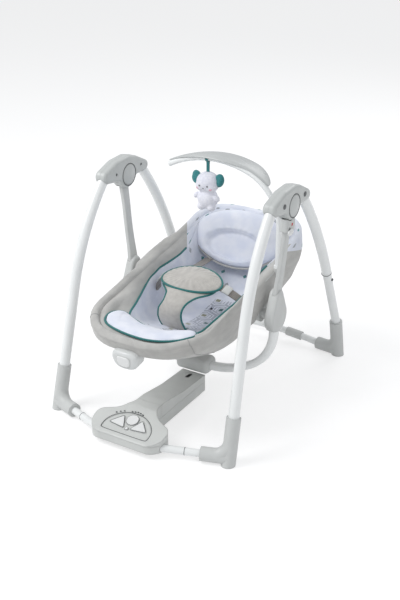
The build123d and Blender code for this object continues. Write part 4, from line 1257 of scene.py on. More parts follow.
@dataclass
class FootPanel(SeatPart):
    """White padded calf rest at the foot end, with its piping."""

    outer: tuple[Point, ...] = (
        (-92.0, -214.0, 52.0), (-101.0, -226.0, 64.0), (-112.0, -250.0, 74.0), (-111.0, -276.0, 78.0),
        (-99.0, -297.0, 80.0), (-76.0, -311.0, 81.0), (-40.0, -321.0, 82.0), (0.0, -326.0, 82.0),
        (41.0, -326.0, 82.0), (78.0, -317.0, 82.0), (111.0, -299.0, 81.0), (132.0, -277.0, 80.0),
        (139.0, -254.0, 74.0), (130.0, -234.0, 64.0), (114.0, -218.0, 54.0))
    inner: tuple[Point, ...] = (
        (-92.0, -214.0, 52.0), (-60.0, -228.0, 54.0), (-20.0, -242.0, 55.0), (22.0, -246.0, 56.0),
        (62.0, -240.0, 56.0), (114.0, -218.0, 54.0))
    crown: float = 10.0
    belly: float = 8.0
    lift: float = 4.0  # above its edge lines, so that it lies on the wings
    full_span: float = 40.0  # narrower places crown less
    fullness: float = 0.6
    ripple: tuple[float, float] = (45.0, 2.2)  # size and depth
    swell_cap: float = 4.0
    seam_reach: float = 7.0  # points this near to the seam are held
    piping_r: float = 2.9
    fold_r: float = 1.5
    fold_up: float = 3.0

    def point(self, u: float, w: float) -> Vector:
        """World place on the panel.

        Args:
            u: share across.
            w: share round from its top to its underside.
        Returns:
            The place.
        """
        outer, inner = curve_at(self.outer, u), curve_at(self.inner, u)
        over = w <= 0.5
        t = w * 2 if over else (1 - w) * 2
        place = outer.lerp(inner, t)
        round_up = max(0.0, 4 * t * (1 - t)) ** self.fullness
        width = min(1.0, (outer - inner).length / self.full_span)
        lift = self.crown * width * round_up if over else -self.belly * round_up
        uneven = ripple(place, *self.ripple) if over else 0.0
        return self.world() @ (place + Vector((0, 0, lift + self.lift + uneven)))

    def build(self) -> None:
        """Build the panel, its piping and the fold line at its inner edge."""
        piece = Piece("foot_rest_pad", Body.SEAT, Slot.WHITE_FABRIC, (self.looks.jersey,))
        piece.grid(72, 28, self.point)
        shape = piece.finish(levels=1, fill=0.6)
        edge = [self.at(*curve_at(self.outer, k / 60)) + Vector((0, 0, self.lift * MM)) for k in range(61)]

        def held(p: Vector) -> bool:
            """Tell whether a point is on the seam."""
            return min((p - e).length for e in edge) < self.seam_reach * MM

        swell(shape, self.swell_cap * MM, held)
        self.cord("foot_rest_piping", edge, self.piping_r, self.looks.piping)
        fold = [self.at(*curve_at(self.inner, k / 30)) + Vector((0, 0, self.fold_up * MM)) for k in range(31)]
        self.cord("foot_rest_fold", fold, self.fold_r, self.looks.piping)


@dataclass
class HeadSupport(SeatPart):
    """Oval head support with a hollow for the head and a grey lip below."""

    centre: Point = (-10.0, 245.0, 50.0)
    lean: float = 41.0
    half: tuple[float, float] = (146.0, 86.0)
    hollow: tuple[float, float, float, float] = (-5.0, -28.0, 86.0, 43.0)  # its middle, then its half sizes
    hollow_depth: float = 17.0
    hollow_edge: tuple[float, float] = (1.12, 0.86)  # where it starts and is deepest, 1 on its outline
    puff: float = 25.0
    roundness: tuple[float, float] = (6, 0.55)
    full_puff: float = 20.0  # where the pillow is thinner, hollow and tucks fade out
    back: float = 12.0
    bow: float = 0.0006  # its ends curve forward
    front_share: float = 0.6
    tucks: int = 18
    tuck: float = 1.3
    tuck_band: tuple[float, float] = (1.05, 0.22)  # middle and width, 1 on the hollow's outline
    lip_r: float = 3.0
    lip_run: tuple[float, float] = (1.08, 0.84)  # its start and length, in half turns
    lip_size: tuple[float, float] = (0.97, 1.03)  # against the pillow's, across and up
    lip_out: float = 1.0
    seam_r: float = 0.9
    seam_in: float = 0.3

    def place(self, x: float, y: float, z: float) -> Vector:
        """World place of a point of the pillow: across, up its slope and out of it."""
        turn = Matrix.Rotation(math.radians(self.lean), 3, "X")
        return self.world() @ (Vector(self.centre) + turn @ Vector((x, y, z)))

    def point(self, u: float, w: float) -> Vector:
        """World place on the pillow.

        Args:
            u: share of a turn about its middle.
            w: share from the front's middle, over its edge, to the back's middle.
        Returns:
            The place.
        """
        angle = math.tau * u
        front = w <= self.front_share
        r = w / self.front_share if front else (1 - w) / (1 - self.front_share)
        x, y = self.half[0] * r * math.cos(angle), self.half[1] * r * math.sin(angle)
        return self.place(x, y, self.height(x, y) if front else -self.back * (1 - r ** 4) + self.bow * x * x)

    def height(self, x: float, y: float) -> float:
        """Height of the pillow's front.

        Args:
            x: place across it.
            y: place up it.
        Returns:
            The height.
        """
        cx, cy, a, b = self.hollow
        r = min(math.hypot(x / self.half[0], y / self.half[1]), 1.0)
        reach = math.hypot((x - cx) / a, (y - cy) / b)
        band, wide = self.tuck_band
        near = math.exp(-((reach - band) / wide) ** 2)
        tuck = self.tuck * math.sin(self.tucks * math.atan2(y - cy, x - cx)) * near
        puff = self.puff * (1 - r ** self.roundness[0]) ** self.roundness[1]
        full = min(1.0, puff / self.full_puff)
        return puff - self.hollow_depth * ramp(reach, *self.hollow_edge) * full + tuck * full + self.bow * x * x

    def build(self) -> None:
        """Build the pillow, its lip and the seam round its hollow."""
        piece = Piece("head_support_pad", Body.SEAT, Slot.WHITE_FABRIC, (self.looks.pillow,))
        piece.grid(96, 44, self.point, round_about=True)
        piece.finish(("head_pillow",), levels=1, fill=0.75)
        lip, (start, length), (across, up) = [], self.lip_run, self.lip_size
        for k in range(41):
            angle = math.pi * (start + length * k / 40)
            x, y = self.half[0] * math.cos(angle), self.half[1] * math.sin(angle)
            lip.append(self.place(x * across, y * up, self.lip_out + self.bow * x ** 2))
        self.cord("head_support_lip", lip, self.lip_r, self.looks.minky, Slot.GREY_FABRIC)
        cx, cy, half_x, half_y = self.hollow
        ring = []
        for k in range(60):
            angle = math.tau * k / 60
            x, y = cx + half_x * math.cos(angle), cy + half_y * math.sin(angle)
            ring.append(self.place(x, y, self.height(x, y) - self.seam_in))
        self.cord("head_support_seam", ring, self.seam_r, self.looks.pillow, Slot.WHITE_FABRIC, True)


@dataclass
class CrotchPad(SeatPart):
    """Crotch pad: oval top, flared stem and teal piping."""

    along: float = -40.0
    up: float = 84.0
    half: tuple[float, float] = (87.5, 57.0)
    top_share: float = 0.6
    puff: float = 13.0
    belly: float = 9.0
    roundness: tuple[float, float] = (2.6, 0.7)
    gathers: int = 26
    gather: float = 6.0
    gather_band: tuple[float, float] = (0.35, 1.15)  # 1 on the pad's outline
    droop: float = 0.0011  # its ends hang below its middle
    stem: tuple[Point, ...] = (  # along, up, half width
        (-52.0, 78.0, 80.0), (-78.0, 76.0, 72.0), (-106.0, 74.0, 50.0), (-132.0, 66.0, 35.0), (-148.0, 50.0, 30.0),
        (-151.0, 28.0, 30.0), (-147.0, 6.0, 33.0), (-139.0, -14.0, 36.0), (-126.0, -30.0, 38.0))
    stem_left: tuple[float, ...] = (0.0, -6.0, -12.0, -4.0, 9.0, 12.0, 8.0, 1.0, -5.0)  # added on the left
    stem_thick: float = 8.0
    stem_roundness: tuple[float, float] = (4, 0.4)
    stem_joined: float = 3.0  # its first third hangs as the pad does
    crease: tuple[float, float] = (1.1, 6.0)  # depth and pitch
    piping_r: float = 3.1
    stem_piping_r: float = 2.7

    def hang(self, x: float) -> float:
        """Height of the pad at a place across it, against its middle."""
        return -self.droop * x * x

    def point(self, u: float, w: float) -> Vector:
        """World place on the pad's top piece.

        Args:
            u: share of a turn about its middle.
            w: share from the top's middle, over its edge, to the underside's middle.
        Returns:
            The place.
        """
        angle = math.tau * u
        top = w <= self.top_share
        r = w / self.top_share if top else (1 - w) / (1 - self.top_share)
        x, y = self.half[0] * r * math.cos(angle), self.half[1] * r * math.sin(angle)
        start, end = self.gather_band
        pleats = math.sin(self.gathers * angle + 2 * math.sin(3 * angle)) * max(0.0, r - start) * (end - r)
        power, bend = self.roundness
        puff = self.puff * (1 - r ** power) ** bend + self.gather * pleats if top else -self.belly * (1 - r ** 3)
        return self.at(x, self.along + y, self.up + puff + self.hang(x))

    def edge(self, angle: float) -> Vector:
        """World place on the pad's edge."""
        x = self.half[0] * math.cos(angle)
        return self.at(x, self.along + self.half[1] * math.sin(angle), self.up + self.hang(x))

    def stem_half(self, u: float, side: float) -> float:
        """Half width of the stem.

        Args:
            u: share down its length.
            side: positive for its right side, negative for its left.
        Returns:
            The half width there.
        """
        half = curve_at(self.stem, u)[2]
        if side >= 0:
            return half
        last = len(self.stem_left) - 1
        return half + table([(k / last, more) for k, more in enumerate(self.stem_left)], u)

    def stem_point(self, u: float, w: float) -> Vector:
        """World place on the stem.

        Args:
            u: share down its length.
            w: share round its front and back.
        Returns:
            The place.
        """
        along, up, _ = curve_at(self.stem, u)
        ahead = curve_at(self.stem, min(u + 0.02, 1.0)) - curve_at(self.stem, max(u - 0.02, 0.0))
        out = Vector((0.0, ahead.y, -ahead.x)).normalized()
        facing = Vector((0, -abs(out.y), abs(out.z)))
        across, depth = math.cos(math.tau * w), math.sin(math.tau * w)
        half = self.stem_half(u, across)
        hang = self.hang(half * across) * (1 - ease(u * self.stem_joined))
        deep, pitch = self.crease
        crease = deep * math.sin(along / pitch + 3 * across) * (1 - across ** 2) if depth > 0 else 0.0
        power, bend = self.stem_roundness
        thick = self.stem_thick * depth * (1 - across ** power) ** bend + crease
        return self.world() @ (Vector((half * across, along, up + hang)) + facing * thick)

    def stem_edge(self, u: float, side: int) -> Vector:
        """World place on one edge of the stem.

        Args:
            u: share down its length.
            side: 1 for the right, -1 for the left.
        Returns:
            The place.
        """
        along, up, _ = curve_at(self.stem, u)
        half = self.stem_half(u, side)
        return self.at(side * half, along, up + self.hang(half) * (1 - ease(u * self.stem_joined)))

    def build(self) -> None:
        """Build the top, the stem and their piping."""
        pad = Piece("crotch_pad_top", Body.SEAT, Slot.GREY_FABRIC, (self.looks.pad_minky,))
        pad.grid(144, 36, self.point, round_about=True)
        pad.finish(("restraint_pad",), levels=1, fill=0.8)
        stem = Piece("crotch_pad_stem", Body.SEAT, Slot.GREY_FABRIC, (self.looks.pad_minky,))
        stem.grid(48, 32, self.stem_point, round_about=True)
        stem.finish(levels=1, fill=0.6)
        edge = [self.edge(math.tau * k / 64) for k in range(64)]
        self.cord("crotch_pad_piping", edge, self.piping_r, self.looks.piping, closed=True)
        for side, mark in ((1, "right"), (-1, "left")):
            points = [self.stem_edge(0.02 + 0.97 * k / 40, side) for k in range(41)]
            self.cord(f"stem_piping_{mark}", points, self.stem_piping_r, self.looks.piping)


@dataclass
class WaistStraps(SeatPart):
    """Waist straps, and the adjusters that slide on them."""

    back: tuple[Point, ...] = (
        (-66.0, 2.0, 70.0), (-70.0, 45.0, 52.0), (-74.0, 100.0, 26.0), (-80.0, 150.0, 10.0), (-84.0, 184.0, 2.0))
    right: tuple[Point, ...] = (
        (78.0, -38.0, 79.0), (98.0, -35.0, 70.0), (118.0, -32.0, 59.0), (136.0, -29.0, 46.0), (145.0, -26.0, 34.0))
    left: tuple[Point, ...] = (
        (-78.0, -38.0, 78.0), (-96.0, -34.0, 66.0), (-112.0, -30.0, 48.0), (-122.0, -24.0, 28.0),
        (-126.0, -20.0, 8.0))
    right_adjuster: tuple[Point, ...] = ((94.0, -35.5, 74.0), (103.0, -34.0, 70.0), (112.0, -33.0, 64.8))
    left_adjuster: tuple[Point, ...] = ((-98.0, -34.0, 67.0), (-105.0, -32.0, 59.5), (-111.0, -30.5, 52.0))
    back_across: Point = (1.0, 0.12, 0.0)
    side_across: Point = (0.0, 1.0, 0.1)
    width: float = 25.0
    thick: float = 1.6
    adjuster_width: float = 29.0
    adjuster_thick: float = 4.2

    def strip(self, piece: Piece, path: Sequence[Point], width: float, across: Point) -> None:
        """Lay a flat strip along a path.

        Args:
            piece: the piece to add to.
            path: seat places along its middle.
            width: its width.
            across: direction of its width.
        """
        spread = Vector(across).normalized() * width

        def place(u: float, w: float) -> Vector:
            """World place on the strip: along it, and across it."""
            return self.world() @ (curve_at(path, u) + spread * (w - 0.5))

        piece.grid(30, 6, place)

    def build(self) -> None:
        """Build the three straps and the two adjusters."""
        for mark, path, across in (("back", self.back, self.back_across), ("right", self.right, self.side_across),
                                   ("left", self.left, self.side_across)):
            strap = Piece(f"waist_strap_{mark}", Body.SEAT, Slot.GREY_FABRIC, (self.looks.tape,))
            self.strip(strap, path, self.width, across)
            strap.finish(("waist_straps",) if mark == "back" else (), thick=self.thick * MM)
        for mark, path in (("right", self.right_adjuster), ("left", self.left_adjuster)):
            slide = Piece(f"strap_adjuster_{mark}", Body.SEAT, Slot.WHITE_PLASTIC, (self.looks.grey,))
            self.strip(slide, path, self.adjuster_width, self.side_across)
            slide.finish(("strap_buckles",) if mark == "right" else (), thick=self.adjuster_thick * MM)


@dataclass(frozen=True)
class Block:
    """Sizes of a rounded-square block that faces the foot end."""

    half: tuple[float, float]  # half width and half height
    front: float  # place of its face ahead of the unit's middle
    back: float
    soft: float  # rounding of its front edge
    power: float  # squareness of its outline, 2 for round


@dataclass
class VibrationUnit(SeatPart):
    """Vibration unit on the foot end, with its soft-edged push button."""

    centre: Point = (-4.0, -350.0, 34.0)
    housing: Block = Block((38.0, 25.0), -16.0, 18.0, 8.0, 3.2)
    ring: Block = Block((21.0, 17.5), -17.0, -12.0, 1.2, 4.0)
    push: Block = Block((18.5, 14.5), -19.0, -13.0, 2.4, 4.0)
    face_end: float = 0.4  # shares of a block from its face's middle: face, rounded edge, wall
    round_end: float = 0.75
    narrowing: float = 0.16  # its lower half is narrower
    curve: float = 0.0016  # its sides draw back, as the cover behind it does

    def shield(self, piece: Piece, block: Block) -> None:
        """Add a rounded-square block facing the foot end.

        Args:
            piece: the piece to add to.
            block: the block's sizes.
        """
        cx, cv, cn = self.centre
        half_x, half_n = block.half
        low = block.soft / half_n

        def place(u: float, w: float) -> Vector:
            """World place on the block: round its outline, and from its face's middle to its back."""
            c, s = math.cos(math.tau * u), math.sin(math.tau * u)
            x = math.copysign(abs(c) ** (2 / block.power), c)
            n = math.copysign(abs(s) ** (2 / block.power), s)
            turn = min(max((w - self.face_end) / (self.round_end - self.face_end), 0.0), 1.0) * math.pi / 2
            shrink = (w / self.face_end) * (1 - low) if w < self.face_end else 1 - low * (1 - math.sin(turn))
            edge = block.front + block.soft
            depth = block.front + block.soft * (1 - math.cos(turn))
            if w >= self.round_end:
                depth = edge + (block.back - edge) * (w - self.round_end) / (1 - self.round_end)
            across = half_x * x * shrink
            narrow = 1 - self.narrowing * max(0.0, -n)
            return self.at(cx + across * narrow, cv + depth + self.curve * across ** 2, cn + half_n * n * shrink)

        piece.grid(64, 24, place, round_about=True)

    def build(self) -> None:
        """Build the housing, the ring round the button and the button."""
        rows = (
            ("vibration_housing", Body.SEAT, Slot.GREY_PLASTIC, self.looks.keys, self.housing, ("vibration_unit",)),
            ("vibration_button_ring", Body.SEAT, Slot.GREY_PLASTIC, self.looks.grey, self.ring, ()),
            ("vibration_push", Body.KEY, Slot.WHITE_PLASTIC, self.looks.panel, self.push, ("vibration_button",)))
        for name, body, slot, finish, block, replaces in rows:
            piece = Piece(name, body, slot, (finish,))
            self.shield(piece, block)
            piece.finish(replaces)


@dataclass
class Seat:
    """All the seat goods, from the shell out."""

    looks: Finishes

    def build(self) -> None:
        """Build the shell, then what lies on it."""
        shell = Shell(self.looks)
        shell.cover()
        shell.liner()
        FootPanel(self.looks).build()
        shell.wing_piping()
        shell.foot_seams()
        HeadSupport(self.looks).build()
        CrotchPad(self.looks).build()
        WaistStraps(self.looks).build()
        VibrationUnit(self.looks).build()


# ---------- toy bar
@dataclass
class ToyBar:
    """Sun visor over the toy bar, the ribbon and the plush toy."""

    looks: Finishes
    # the bar's middle line: a wide arc over the seat, then a tighter corner down to its post
    reach: float = 88.0
    arch_r: float = 290.0
    arch_x: float = -10.0
    arch_z: float = 632.0
    turn: float = 20.0
    corner_r: float = 150.2
    corner_x: float = 37.8
    corner_z: float = 473.4
    bar_r: float = 7.5
    visor_turns: tuple[float, float] = (-27.5, 74.0)  # degrees from the arc's top: start and length
    visor_front: tuple[float, float] = (17.0, 10.0)  # reach of its front edge, and what it loses to the post
    visor_narrows: tuple[float, float] = (0.4, 0.7)
    visor_taper: tuple[float, float] = (1.25, 0.5)
    visor_droop: tuple[float, float] = (0.12, 0.45)  # at its rear and front edges, as a share of their reach
    visor_rear: float = 62.0
    visor_gap: float = 2.0
    visor_thick: float = 3.2
    toy_x: float = -26.0
    ribbon_wide: float = 9.0
    ribbon_thick: float = 0.9
    ribbon_gap: float = 1.9
    ribbon_open: float = 160.0  # half turn of the ribbon's loop about the bar, in degrees
    ribbon_sewn: float = 2.0  # its end lies this far inside the toy's head
    head_under_top: float = 29.0
    # parts of the toy from its head's middle, then their half sizes; those at the sides have a lean in degrees
    trunk: tuple[tuple[Point, Point], ...] = (
        ((0, 0, 0), (33, 27, 29)), ((-12, -6, -8), (20, 19, 17)), ((12, -6, -8), (20, 19, 17)),
        ((0, 0, -45), (29, 24, 29)))
    limbs: tuple[tuple[Point, Point, float], ...] = (
        ((15, -8, -66), (12, 12, 11), 0), ((31, -7, -38), (11, 8, 7), 48))
    ears: tuple[tuple[Point, Point, float], ...] = (((34, 1, 9), (14, 8, 19), 16), ((37, -3, 6), (10, 7, 14), 16))
    eye: tuple[Point, Point] = ((12, -26.0, -4), (2.1, 1.6, 2.3))
    cheek: tuple[Point, Point] = ((19, -21.5, -12), (5.0, 2.5, 4.0))
    nose: tuple[Point, Point] = ((0, -26.6, -10), (1.8, 1.5, 1.4))
    plush_mm: float = 1.8  # size of the toy's even mesh
    soften: tuple[float, int] = (0.6, 6)

    def arch(self, degrees: float, grow: float) -> Vector:
        """World place on the bar's arch.

        Args:
            degrees: turn from its top, positive towards the post.
            grow: distance out from the bar's middle line.
        Returns:
            The place.
        """
        a = math.radians(degrees)
        if degrees <= self.turn:
            r, x, z = self.arch_r + grow, self.arch_x, self.arch_z - self.arch_r
        else:
            r, x, z = self.corner_r + grow, self.corner_x, self.corner_z
        return Vector((x + r * math.sin(a), self.reach, z + r * math.cos(a))) * MM

    def visor_point(self, u: float, w: float) -> Vector:
        """World place on the visor.

        Args:
            u: share along the arch.
            w: share across it, from its front edge.
        Returns:
            The place.
        """
        start, length = self.visor_turns
        shape = math.sin(math.pi * u ** self.visor_taper[0]) ** self.visor_taper[1]
        front = (self.visor_front[0] - self.visor_front[1] * ramp(u, *self.visor_narrows)) * shape
        rear = self.visor_rear * shape
        y = -front + (front + rear) * w
        behind, ahead = self.visor_droop
        droop = behind * rear * max(0.0, y / max(rear, 1.0)) ** 2
        droop += ahead * front * max(0.0, -y / max(front, 1.0)) ** 2
        return self.arch(start + length * u, self.bar_r + self.visor_gap - droop) + Vector((0.0, y * MM, 0.0))

    def visor(self) -> None:
        """Build the leaf-shaped moulded visor, curved both ways."""
        piece = Piece("toy_bar_visor", Body.TOY_ARM, Slot.GREY_PLASTIC, (self.looks.visor,))
        piece.grid(64, 16, self.visor_point)
        piece.finish(("toy_bar_canopy",), thick=self.visor_thick * MM, levels=1)

    def ribbon(self, top: float, end: float) -> None:
        """Build the ribbon, looped over the bar and down to the toy.

        Args:
            top: height of the bar's middle.
            end: height where the ribbon ends.
        """
        piece = Piece("ribbon_loop", Body.RIBBON, Slot.RIBBON, (self.looks.teal_tape,))
        r, half = self.bar_r + self.ribbon_gap, self.ribbon_open
        turns = [math.radians(-half + 2 * half * k / 16) for k in range(17)]
        loop = [(r * math.sin(a), top + r * math.cos(a)) for a in turns]
        # two strands hang just before and behind the middle line
        front = [(1.0, end), (1.2, end + 10), (1.4, top - r - 4)]
        rear = [(-y, z) for y, z in reversed(front)]
        path = [(0.0, y, z) for y, z in (*front, *reversed(loop), *rear)]

        def place(u: float, w: float) -> Vector:
            """World place on the ribbon: along it, and across it."""
            spot = curve_at(path, u)
            return Vector((self.toy_x + (w - 0.5) * self.ribbon_wide, self.reach + spot.y, spot.z)) * MM

        piece.grid(72, 3, place)
        piece.finish(("toy_ribbon",), thick=self.ribbon_thick * MM, levels=1)

    def toy(self, head_z: float) -> None:
        """Build the plush animal: round head, teal ears, soft body, hands and feet.

        Args:
            head_z: height of its head's middle.
        """
        def lump(piece: Piece, place: Point, half: Point, side: int = 1, lean: float = 0.0, finish: int = 0,
                 rows: int = 20) -> None:
            """Add an ellipsoid, whose place and lean may be taken to the other side."""
            middle = Vector((self.toy_x + side * place[0], self.reach + place[1], head_z + place[2])) * MM
            turn = Matrix.Rotation(math.radians(side * lean), 4, "Y")
            piece.ball(middle, tuple(k * MM for k in half), turn, finish, rows)

        body = Piece("toy_plush", Body.TOY, Slot.PLUSH, (self.looks.white_plush,))
        for place, half in self.trunk:
            lump(body, place, half)
        for side in (-1, 1):
            for place, half, lean in self.limbs:
                lump(body, place, half, side, lean)
        shape = body.finish(("plush_toy",), fill=0.9)
        even = shape.modifiers.new("even", "REMESH")
        even.mode, even.voxel_size = "VOXEL", self.plush_mm * MM
        soft = shape.modifiers.new("soft", "SMOOTH")
        soft.factor, soft.iterations = self.soften
        ears = Piece("toy_ears", Body.TOY, Slot.PLUSH, (self.looks.teal_plush,))
        for side in (-1, 1):
            for place, half, lean in self.ears:
                lump(ears, place, half, side, lean)
        ears.finish(fill=0.8)
        face = Piece("toy_face", Body.TOY, Slot.GREY_PLASTIC, (self.looks.dark, self.looks.pink_plush))
        for side in (-1, 1):
            lump(face, *self.eye, side, rows=12)
            lump(face, *self.cheek, side, finish=1, rows=12)
        lump(face, *self.nose, rows=12)
        face.finish()

    def build(self) -> None:
        """Build the visor, the ribbon and the toy."""
        drop = math.sqrt(self.arch_r ** 2 - (self.toy_x - self.arch_x) ** 2)
        _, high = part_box("plush_toy")
        self.visor()
        self.ribbon(self.arch_z - self.arch_r + drop, high.z / MM - self.ribbon_sewn)
        self.toy(high.z / MM - self.head_under_top)


# ---------- console and hub trim
@dataclass
class Trim:
    """Dark lines of painted shade in the gaps of the panel, hub caps, legs and floor bars; the lamp windows and the
    arm's white tab.
    """

    looks: Finishes
    panel_y: float = -346.0
    panel_z: float = 51.0
    panel_tilt: float = 18.0
    # right half of the panel's outline, then the keys, all across the panel and up its slope
    panel_half: tuple[tuple[float, float], ...] = (
        (0.0, -28.5), (40.0, -28.5), (66.0, -28.0), (70.0, -24.0), (70.0, -5.0), (64.0, 10.0), (52.0, 24.0),
        (34.0, 36.0), (14.0, 42.0))
    side_key: tuple[tuple[float, float], ...] = ((56.5, -5.5), (8.5, -11.0), (28.0, 27.5))
    side_key_stops: tuple[float, ...] = (0.06, 0.3, 0.5, 0.7, 0.94)  # shares of each side of a key
    power_key: tuple[float, float] = (19.5, 16.5)  # middle up the slope, and radius
    timer_key: tuple[float, float] = (-10.0, 4.5)
    key_high: float = 1.4  # lines lie this far out of the panel
    lamp_places: tuple[tuple[float, float], ...] = (
        (-55.0, 28.0), (-46.0, 34.0), (-37.0, 39.0), (-16.0, 44.0), (-8.0, 46.0), (0.0, 47.0), (8.0, 46.0),
        (16.0, 44.0))
    lamp_half: Point = (2.4, 2.0, 1.2)
    hub_y: float = 14.0
    hub_z: float = 574.0
    cap_r: float = 30.4
    cap_faces: tuple[tuple[float, str], ...] = (
        (264.1, "outer_right"), (-264.1, "outer_left"), (227.9, "inner_right"), (-227.9, "inner_left"))
    leg_joint: Point = (253.6, 264.0, 300.0)  # on the right; the left one is its mirror
    leg_way: Point = (-0.03, -0.395, 0.918)
    leg_r: float = 14.0
    bar_joint: Point = (157.0, -331.6, 21.3)
    bar_way: Point = (0.942, 0.334, -0.025)
    bar_r: float = 10.1
    tab_at: Point = (261.0, 4.0, 507.0)
    tab_half: Point = (4.5, 14.0, 8.5)

    def on_panel(self, x: float, s: float, high: float) -> Vector:
        """World place on the sloping panel: across, up its slope, and out of it."""
        a = math.radians(self.panel_tilt)
        y = self.panel_y + s * math.cos(a) - high * math.sin(a)
        return Vector((x, y, self.panel_z + s * math.sin(a) + high * math.cos(a))) * MM

    def painted_shade_line(self, name: str, points: Sequence[Vector], radius: float, body: Body = Body.FRONT) -> None:
        """Lay a closed dark line of painted shade, of a radius in millimetres, through world places."""
        cord_piece(name, points, radius, self.looks.dark, body, Slot.GREY_PLASTIC, True)

    def round_key(self, name: str, key: tuple[float, float], step: int, radius: float) -> None:
        """Lay the gap line of painted shade round a round key.

        Args:
            name: the piece's name.
            key: the key's middle up the slope, and its radius.
            step: degrees between two points.
            radius: half the line's thickness.
        """
        middle, reach = key
        turns = [math.radians(a) for a in range(0, 360, step)]
        points = [self.on_panel(reach * math.cos(a), middle + reach * math.sin(a), self.key_high) for a in turns]
        self.painted_shade_line(name, points, radius)

    def panel_lines(self) -> None:
        """Lay lines of painted gap shade round the panel and each key."""
        outline = self.panel_half + tuple((-x, s) for x, s in reversed(self.panel_half[1:]))
        self.painted_shade_line("panel_outline", [self.on_panel(x, s, 0.1) for x, s in outline], 0.8)
        self.round_key("power_key_gap", self.power_key, 12, 0.5)
        self.round_key("timer_key_gap", self.timer_key, 20, 0.4)
        corners = self.side_key
        for side, name in ((-1, "mode"), (1, "volume")):
            points = [self.on_panel(side * (ax + (bx - ax) * t), ay + (by - ay) * t, self.key_high)
                      for (ax, ay), (bx, by) in zip(corners, corners[1:] + corners[:1]) for t in self.side_key_stops]
            self.painted_shade_line(f"{name}_key_gap", points, 0.5)

    def cap_lines(self) -> None:
        """Lay a ring of painted groove shade round each hub cap, on both faces of each hub."""
        for x, mark in self.cap_faces:
            middle = Vector((x, self.hub_y, self.hub_z))
            ring = circle(middle, Vector((0, 1, 0)), Vector((0, 0, 1)), self.cap_r, 9)
            self.painted_shade_line(f"hub_cap_line_{mark}", ring, 0.7)

    def leg_lines(self) -> None:
        """Lay the gap line of painted shade under the rim of each upper rear leg, square to the leg."""
        for side, mark in ((1, "right"), (-1, "left")):
            along = on_side(self.leg_way, side).normalized()
            across = along.cross(Vector((1, 0, 0))).normalized()
            ring = circle(on_side(self.leg_joint, side), across, along.cross(across).normalized(), self.leg_r, 10)
            self.painted_shade_line(f"rear_leg_line_{mark}", ring, 0.8, Body.REAR)

    def bar_lines(self) -> None:
        """Lay the joint line of painted shade round each front floor bar, half-way to its boot."""
        for side, mark in ((1, "right"), (-1, "left")):
            along = on_side(self.bar_way, side).normalized()
            across = along.cross(Vector((0, 0, 1))).normalized()
            ring = circle(on_side(self.bar_joint, side), across, across.cross(along), self.bar_r, 12)
            self.painted_shade_line(f"front_bar_line_{mark}", ring, 0.7)

    def lamps(self) -> None:
        """Build the small dark windows of the indicator lights, above the keys."""
        marks = Piece("lamp_windows", Body.FRONT, Slot.LAMP, (self.looks.dark,))
        for x, s in self.lamp_places:
            marks.ball(self.on_panel(x, s, self.lamp_half[2]), tuple(k * MM for k in self.lamp_half), rows=10)
        marks.finish(("indicator_lights",))

    def release_tab(self) -> None:
        """Build the white thumb tab over the arm's release button."""
        tab = Piece("arm_release_tab", Body.RELEASE, Slot.WHITE_PLASTIC, (self.looks.panel,))
        tab.ball(Vector(self.tab_at) * MM, tuple(k * MM for k in self.tab_half))
        tab.finish(("arm_release_button",))

    def build(self) -> None:
        """Build all lines of painted shade, the tab and the lamp windows."""
        self.panel_lines()
        self.cap_lines()
        self.leg_lines()
        self.release_tab()
        self.lamps()
        self.bar_lines()


# ---------- carried-over solids
@dataclass(frozen=True)
class Dressing:
    """Finishes for the solids that keep their shape."""

    looks: Finishes

    def table(self) -> dict[str, Material]:
        """List the finish of each node by how its name starts.

        Returns:
            Finishes by the start of a name, where the longest match counts.
        """
        k = self.looks
        return {
            "hub_": k.hub, "console_": k.console, "spine_cover": k.console, "battery_door": k.console,
            "control_panel": k.console, "power_button": k.panel, "mode_button": k.panel, "volume_button": k.panel,
            "timer_button": k.panel, "circuit_board": k.board, "batteries": k.steel, "front_bar": k.paint,
            "rear_bar_tubes": k.paint, "rear_bar_sleeves": k.grey, "front_leg": k.paint, "rear_leg": k.paint,
            "front_foot": k.grey, "rear_foot": k.grey, "leg_pins": k.dark, "pivot_axles": k.steel,
            "drive_motor": k.steel, "worm": k.gear, "rear_snap": k.dark, "swing_arm": k.grey, "arm_housing": k.grey,
            "under_tube": k.paint, "dock_bracket": k.grey, "lock_indicator": k.red, "seat_bracket": k.grey,
            "seat_frame": k.steel, "toy_bar": k.paint,
        }

    def build(self) -> None:
        """Give every shown solid its finish."""
        rows = self.table()
        for name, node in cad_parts.items():
            found = [key for key in rows if name.startswith(key)]
            if not found or node.hide_render:
                continue
            finish = rows[max(found, key=len)]
            for place in node.material_slots:
                place.material = finish
            LOG.info("%s is dressed in %s", name, finish.name)


